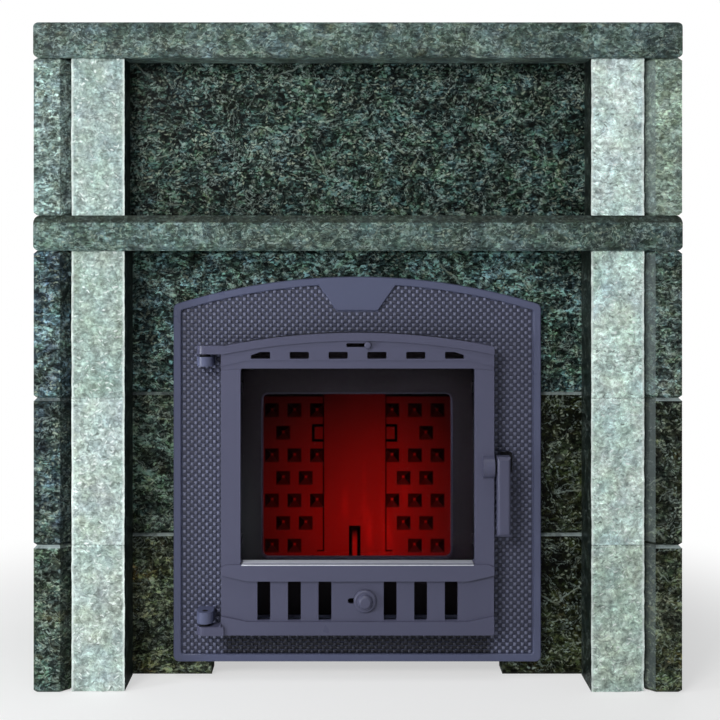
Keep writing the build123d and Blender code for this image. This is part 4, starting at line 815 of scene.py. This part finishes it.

# painted brighter tongues of glow that rise from the fire
tongues = {"Vector": place, "Rotation": (0.0, 0.25, 0.0), "Scale": (1.0, 1.0, 0.16)}
tongues = noise(tree, add_node(tree, "Mapping", tongues).outputs[0], 55.0, 3.0, 0.55)
tongues = times(tree, fade(tree, tongues, 0.5, 0.72), fade(tree, away, 0.55, 0.1, 0.0, 0.5))
lit = times(tree, lit, plus(tree, tongues, 1.0))
# the painted glow is the emission, and a little of it is mixed into the base colour too
painted_glow = dimmed(tree, mix_colour(tree, glow_falloff, dull_red, bright_red), lit)
wire(tree, shader.inputs["Base Color"], mix_colour(tree, 0.15, charred_red, painted_glow))
wire_all(tree, shader, {"Emission Color": painted_glow, "Emission Strength": 1.0})
wire_all(tree, shader, {"Roughness": 0.8, "Specular IOR Level": 0.0})
emboss(tree, shader, noise(tree, place, 500.0, 3.0, 0.6), 0.3, 0.0004)
dress(glow_painted_iron, "back_plate", "flue_panel")

# Mouth plate: a black iron plate with a rounded window, bolted to the front of the firebox. It is
# painted greyer towards its lower left, and a painted highlight runs round the edge of the window.
mouth_iron = metal(
    "mouth_iron", (0.0095, 0.0072, 0.0100), grain=0.0016, mottle=0.3, roughness=0.50,
    relief=0.0002, specular=0.08)
seam_gap, flat_angle = 0.000004, 0.6


def cast_copy(node, label, width, angle=35.0, segments=2, shape=None):
    """Copy of a CAD node with its seams merged and its edges rounded, which replaces it."""
    piece = bpy.data.objects.new(label, nodes[node].data.copy())
    scene.collection.objects.link(piece)
    bpy.ops.object.select_all(action="DESELECT")
    piece.select_set(True)
    bpy.context.view_layer.objects.active = piece
    bpy.ops.object.mode_set(mode="EDIT")
    bpy.ops.mesh.select_all(action="SELECT")
    bpy.ops.mesh.remove_doubles(threshold=seam_gap)
    bpy.ops.mesh.dissolve_limited(angle_limit=math.radians(flat_angle))
    bpy.ops.object.mode_set(mode="OBJECT")
    if shape:
        shape(piece)
    rounding = piece.modifiers.new("cast_edges", "BEVEL")
    rounding.width = width
    rounding.segments = segments
    rounding.limit_method = "ANGLE"
    rounding.angle_limit = math.radians(angle)
    rounding.use_clamp_overlap = True
    apply_modifiers(piece)
    bpy.ops.object.shade_smooth_by_angle(angle=math.radians(angle))
    evening = piece.modifiers.new("flat_faces_stay_flat", "WEIGHTED_NORMAL")
    evening.keep_sharp = True
    apply_modifiers(piece)
    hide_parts(node)
    return piece


def finish_piece(piece, material, body):
    """Gives a piece its one material and the body that it moves with."""
    piece.data.materials.clear()
    piece.data.materials.append(material)
    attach(piece, body)


def open_coat(material):
    """Opens a metal for a second coat. Returns its tree, its shader and its first colour."""
    tree = material.node_tree
    shader = next(node for node in tree.nodes if node.type == "BSDF_PRINCIPLED")
    return tree, shader, shader.inputs["Base Color"].links[0].from_socket


window = (("X", -0.134, 0.134), ("Z", 0.1637, 0.3957))
window_radius = 0.008
rim_start, rim_full = window_radius + 0.0030, window_radius + 0.0016
greying_right, greying_left, greying_top, greying_foot = -0.125, -0.165, 0.37, 0.18
greying_tone = (0.040, 0.043, 0.048, 1.0)
rim_highlight_blue = (0.026, 0.025, 0.042, 1.0)
tree, shader, coat = open_coat(mouth_iron)
reach = axes_of(tree, object_place(tree))
past = []
for axis, low, high in window:
    span = absolute(tree, minus(tree, reach[axis], (low + high) / 2))
    span = highest(tree, minus(tree, span, (high - low) / 2 - window_radius), 0.0)
    past.append(times(tree, span, span))
from_window = arithmetic(tree, "SQRT", plus(tree, *past))
greying = fade(tree, reach["X"], greying_right, greying_left, 0.0, 0.8)
greying = times(tree, greying, fade(tree, reach["Z"], greying_top, greying_foot))
greyed = mix_colour(tree, greying, coat, greying_tone)
# painted highlight: a blue-grey band round the edge of the window
window_rim_highlight = fade(tree, from_window, rim_start, rim_full, 0.0, 0.85)
wire(tree, shader.inputs["Base Color"], mix_colour(tree, window_rim_highlight, greyed, rim_highlight_blue))
mouth = cast_copy("mouth_plate", "firebox_mouth", 0.0022, segments=3)
finish_piece(mouth, mouth_iron, "casing")

# Door frame: one sand casting in a satin blue-grey coat, bolted to the firebox, with blackened
# hinge pins and latch keeper. Its raised rim and bare tab stand round a field cast as a plain
# weave, which here is a piece of its own on the field.
satin = dict(grain=0.0011, mottle=0.08, roughness=0.31, relief=0.0001, specular=0.25)
frame_iron = metal("satin_iron_coat", (0.086, 0.096, 0.165), **satin)
blued = metal(
    "blackened_steel", (0.008, 0.008, 0.010), grain=0.0008, mottle=0.2, roughness=0.55,
    relief=0.0001, specular=0.1)
dress(zinc, "frame_bolts")
# the hinge pins' near-black coat is partly painted shade, which keeps the gaps between ears and
# knuckles dark
dress(blued, "hinge_pins", "latch_keeper")
casting = cast_copy("door_frame", "frame_casting", 0.0007)
finish_piece(casting, frame_iron, "casing")

frame_low, frame_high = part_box("door_frame")
leaf_low, leaf_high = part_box("door_leaf")
frame_half, frame_foot, frame_crown, frame_radius = frame_high.x, frame_low.z, 0.5635, 0.868
leaf_half, leaf_foot, leaf_crown, leaf_radius = leaf_high.x, leaf_low.z, leaf_high.z, 0.950
rim_width = 0.0105
leaf_cover = 0.002
field_y = -0.157
tab_top = frame_crown - rim_width
tab_height, tab_head_half, tab_foot_half = 0.037, 0.055, 0.029
weave_cell = 0.00528
warp_rise, weft_rise, sink = 0.0026, 0.0006, 0.0003
warp_half, weft_half, strand_half = 0.42 * weave_cell, 0.56 * weave_cell, 0.44 * weave_cell
pillow_base, pillow_steps = 0.45, ((0.86, 0.92, 0.35), (0.5, 0.56, 0.2))


def under_arch(x, z, half, foot, crown, radius):
    """True inside an outline with straight sides and an arched top."""
    return abs(x) < half and z > foot and z < crown - radius + math.sqrt(radius**2 - x * x)


def strand(label, x, z, half_x, rise):
    """One pillow of the weave, its crown drawn in twice."""
    low = (x - half_x, field_y - rise * pillow_base, z - strand_half)
    high = (x + half_x, field_y + sink, z + strand_half)
    piece = add_block(label, low, high)
    for along, up, step in pillow_steps:
        pick_faces(piece, looks_forward)
        bpy.ops.mesh.extrude_region_move(TRANSFORM_OT_translate={"value": (0.0, -rise * step, 0.0)})
        bpy.ops.transform.resize(value=(along, 1.0, up), center_override=(x, field_y, z))
    bpy.ops.object.mode_set(mode="OBJECT")
    return piece


def join_pieces(pieces):
    """Joins pieces into the first of them, which stays the active one."""
    bpy.ops.object.select_all(action="DESELECT")
    for piece in pieces:
        piece.select_set(True)
    bpy.context.view_layer.objects.active = pieces[0]
    bpy.ops.object.join()
    return bpy.context.object


weave_left = -(math.floor(frame_half / weave_cell / 2) * 2 + 1) * weave_cell
weave_foot = frame_foot + 0.4 * weave_cell
strands = []
for column in (0, 1):
    for row in (0, 1):
        x = weave_left + column * weave_cell
        z = weave_foot + row * weave_cell
        if (column + row) % 2:
            strands.append(strand("warp", x, z, warp_half, warp_rise))
        else:
            strands.append(strand("weft", x, z, weft_half, weft_rise))
weave = join_pieces(strands)
weave.name = "frame_weave"
points_in_strand = len(weave.data.vertices) // len(strands)
for label, axis, extent in (("along", 0, 2 * frame_half), ("up", 2, frame_crown - frame_foot)):
    copies = weave.modifiers.new(label, "ARRAY")
    copies.count = math.ceil(extent / weave_cell / 2) + 2
    copies.use_relative_offset = False
    copies.use_constant_offset = True
    offset = [0.0, 0.0, 0.0]
    offset[axis] = 2 * weave_cell
    copies.constant_offset_displace = offset
apply_modifiers(weave)

# the strands off the field go: those past the rim, under the leaf's edge and on the tab
rim_edge = (frame_half - rim_width, frame_foot + rim_width, tab_top, frame_radius - rim_width)
leaf_edge = (
    leaf_half - leaf_cover, leaf_foot + leaf_cover, leaf_crown - leaf_cover,
    leaf_radius - leaf_cover)
unpick(weave)
points = weave.data.vertices
for first in range(0, len(points), points_in_strand):
    own = range(first, first + points_in_strand)
    x = sum(points[i].co.x for i in own) / points_in_strand
    z = sum(points[i].co.z for i in own) / points_in_strand
    narrowed = (tab_head_half - tab_foot_half) * (tab_top - z) / tab_height
    on_tab = z > tab_top - tab_height and abs(x) < tab_head_half - narrowed
    on_field = under_arch(x, z, *rim_edge) and not under_arch(x, z, *leaf_edge)
    if on_tab or not on_field:
        for i in own:
            points[i].select = True
bpy.ops.object.mode_set(mode="EDIT")
bpy.ops.mesh.select_mode(type="VERT")
bpy.ops.mesh.delete(type="VERT")
bpy.ops.object.mode_set(mode="OBJECT")
bpy.ops.object.shade_smooth_by_angle(angle=math.radians(50.0))

# the coat of the weave: a painted highlight on the crowns, and a painted shadow under the leaf
shaded_hollow_blue, lit_crown_blue = (0.047, 0.050, 0.080, 1.0), (0.148, 0.160, 0.240, 1.0)
shadow_foot, shadow_top, shadow_level = 0.056, 0.077, 0.17
shadow_half, unshadowed_half = 0.175, 0.200
woven_coat, tree, shader = new_material("woven_iron_coat")
place = object_place(tree)
reach = axes_of(tree, place)
wisps = times(tree, noise(tree, place, 60.0, 3.0, 0.5), 0.006)
unshaded = fade(tree, plus(tree, reach["Z"], wisps), shadow_foot, shadow_top, shadow_level, 1.0)
unshaded = highest(tree, unshaded, fade(tree, absolute(tree, reach["X"]), shadow_half, unshadowed_half))
crown = fade(tree, reach["Y"], field_y - 0.2 * warp_rise, field_y - 0.95 * warp_rise)
skin = {"Grain Size": satin["grain"], "Mottle": satin["mottle"]}
shaded_hollows = use_group(tree, painted_skin, dict(skin, Paint=shaded_hollow_blue))
lit_crowns = use_group(tree, painted_skin, dict(skin, Paint=lit_crown_blue))
woven = mix_colour(tree, crown, shaded_hollows["Color"], lit_crowns["Color"])
wire(tree, shader.inputs["Base Color"], dimmed(tree, woven, unshaded))
wire_all(tree, shader, {"Roughness": 0.36, "Specular IOR Level": 0.25})
finish_piece(weave, woven_coat, "casing")

# Door leaf: one casting with a rim band, a sill, two rows of vents, hinge ears and the boss of
# the handle's axle, in a darker copy of the frame's coat. It hangs on the two hinge pins.
leaf_iron = metal("satin_leaf_coat", (0.072, 0.074, 0.122), **satin)
painted_shade_black = (0.003, 0.003, 0.003, 1.0)
opening_half, opening_middle, opening_reach, shade_edge = 0.159, 0.300, 0.1545, 0.0005
panel_face, panel_inside = -0.1842, -0.1828
panel_foot, panel_clear = 0.0890, 0.0896
sill_face, sill_foot, sill_lean = -0.192, 0.1435, 0.0015
sill_gap, sill_reach = 1e-4, 0.006
# painted shade: the leaf's faces inside the window opening, close to its back, are painted near
# black
tree, shader, coat = open_coat(leaf_iron)
reach = axes_of(tree, object_place(tree))
side_off = absolute(tree, reach["X"])
inner_shade = fade(tree, side_off, opening_half + shade_edge, opening_half - shade_edge)
height_off = absolute(tree, minus(tree, reach["Z"], opening_middle))
inner_shade = times(tree, inner_shade, fade(tree, height_off, opening_reach, opening_reach + shade_edge))
inner_shade = times(tree, inner_shade, fade(tree, reach["Y"], panel_face, panel_inside, 0.0, 0.92))
inner_shade = times(tree, inner_shade, fade(tree, reach["Z"], panel_foot, panel_clear))
wire(tree, shader.inputs["Base Color"], mix_colour(tree, inner_shade, coat, painted_shade_black))


def lean_sill(piece):
    """Draws the foot of the sill's face forward, so that it overhangs the vents."""
    unpick(piece)
    for point in piece.data.vertices:
        on_face = abs(point.co.y - sill_face) < sill_gap
        point.select = on_face and abs(point.co.z - sill_foot) < sill_reach
    bpy.ops.object.mode_set(mode="EDIT")
    bpy.ops.mesh.select_mode(type="VERT")
    bpy.ops.transform.translate(value=(0.0, -sill_lean, 0.0))
    bpy.ops.object.mode_set(mode="OBJECT")


leaf = cast_copy("door_leaf", "leaf_casting", 0.0011, shape=lean_sill)
finish_piece(leaf, leaf_iron, "door")

# Glass stop: a bright steel strip on the sill's slope with a rolled front edge, which keeps ash
# off the pane. It is pressed from one strip and riveted to the leaf. Its rolled edge is painted
# paler than the strip, a painted highlight.
stop_half = 0.1605
strip_low, strip_high, strip_lift = (-0.1880, 0.1668), (-0.1812, 0.1676), 0.0027
roll_low, roll_high = (-0.1927, 0.1648), (-0.1905, 0.1664)
strip_grey, roll_highlight_grey = (0.34, 0.35, 0.40, 1.0), (0.56, 0.58, 0.64, 1.0)
stop = add_block("glass_stop", (-stop_half, *strip_low), (stop_half, *strip_high))
pick_faces(stop, lambda centre, normal: normal.y > 0.9)
bpy.ops.transform.translate(value=(0.0, 0.0, strip_lift))
bpy.ops.object.mode_set(mode="OBJECT")
roll = add_block("rolled_edge", (-stop_half, *roll_low), (stop_half, *roll_high))
for piece, width in ((stop, 0.0002), (roll, 0.0006)):
    bpy.context.view_layer.objects.active = piece
    edge = piece.modifiers.new("rolled", "BEVEL")
    edge.width = width
    edge.segments = 3
    apply_modifiers(piece)
stop = join_pieces([stop, roll])
bpy.ops.object.shade_smooth_by_angle(angle=math.radians(35.0))
stop_steel, tree, shader = new_material("stop_steel")
place = object_place(tree)
brushed = {"Vector": place, "Scale": (0.06, 1.0, 1.0)}
brushed = noise(tree, add_node(tree, "Mapping", brushed).outputs[0], 1200.0, 2.0, 0.6)
# painted highlight on the rolled edge
roll_highlight = fade(tree, axes_of(tree, place)["Y"], -0.1895, -0.1910)
colour = mix_colour(tree, roll_highlight, strip_grey, roll_highlight_grey)
colour = dimmed(tree, colour, fade(tree, brushed, 0.3, 0.7, 0.9, 1.1))
gloss = fade(tree, brushed, 0.3, 0.7, 0.3, 0.42)
wire_all(tree, shader, {"Base Color": colour, "Roughness": gloss})
finish_piece(stop, stop_steel, "door")

# Rope seals: braided glass-fibre rope. One ring is pressed into the channel behind the leaf,
# and one is laid round the glass as its bed.
braid_pitch = 0.0032
braid_grey, braid_pale = (0.10, 0.10, 0.095, 1.0), (0.38, 0.37, 0.35, 1.0)
fuzz_pale = (0.5, 0.49, 0.46, 1.0)
glass_fibre, tree, shader = new_material("glass_fibre_rope")
place = object_place(tree)
axes = axes_of(tree, place)
ridges = []
for run in (plus(tree, axes["X"], axes["Z"]), minus(tree, axes["X"], axes["Z"])):
    turn = times(tree, run, 2.0 * math.pi / braid_pitch)
    ridges.append(arithmetic(tree, "SINE", turn))
braid = fade(tree, highest(tree, *ridges), -0.6, 1.0)
fuzz = noise(tree, place, 1600.0, 2.0, 0.6)
colour = mix_colour(tree, braid, braid_grey, braid_pale)
colour = mix_colour(tree, fade(tree, fuzz, 0.4, 0.7, 0.0, 0.4), colour, fuzz_pale)
wire_all(tree, shader, {"Base Color": colour, "Roughness": 0.95})
emboss(tree, shader, plus(tree, braid, fuzz), 0.8, 0.0006)
for node, label in (("door_gasket", "door_rope"), ("glass_gasket", "glass_rope")):
    rope = cast_copy(node, label, 0.0012, 30.0, 3)
    finish_piece(rope, glass_fibre, "door")

# Glass: a 4 mm pane of clear ceramic glass behind the leaf, held by four zinc-plated clips. Its
# anti-glare coat is why it hardly mirrors the room, so its optical density is set low.
ceramic_glass, tree, shader = new_material("ceramic_glass")
smear = noise(tree, object_place(tree), 12.0, 3.0, 0.6)
smear = fade(tree, smear, 0.4, 0.8, 0.0, 0.03)
wire_all(tree, shader, {"Base Color": (0.92, 0.92, 0.93, 1.0), "Roughness": smear})
wire_all(tree, shader, {"Transmission Weight": 1.0, "IOR": 1.04})
dress(ceramic_glass, "door_glass")
dress(zinc, "glass_clips", "clip_screws")

# Air slides: sooted steel plates behind the two rows of vents, held in blackened rails. Their
# near-black coat is partly painted shade, so that the vents read as dark holes. The lower one is
# moved by a turned button in two steps, the upper one by a small round-headed pin, both coated
# as the leaf is.
soot_and_shade_coat = metal(
    "sooted_and_shaded_steel", (0.0018, 0.0018, 0.0020), grain=0.0008, mottle=0.3, roughness=0.85,
    relief=0.0001, specular=0.02)
dress(soot_and_shade_coat, "lower_shutter", "upper_shutter")
dress(blued, "shutter_guides")
knob = cast_copy("lower_knob", "slide_knob", 0.0005, 25.0)
finish_piece(knob, leaf_iron, "lower_slide")
pin = cast_copy("upper_pin", "slide_pin", 0.0003, 25.0)
finish_piece(pin, leaf_iron, "upper_slide")

# Handle: a cast lever that hangs from its axle in front of the frame, rounded all over, with a
# short tail that turns in under the keeper's peg.
dress(blued, "latch_axle")
lever = cast_copy("latch_lever", "hanging_lever", 0.0015, 30.0, 3)
finish_piece(lever, leaf_iron, "latch")
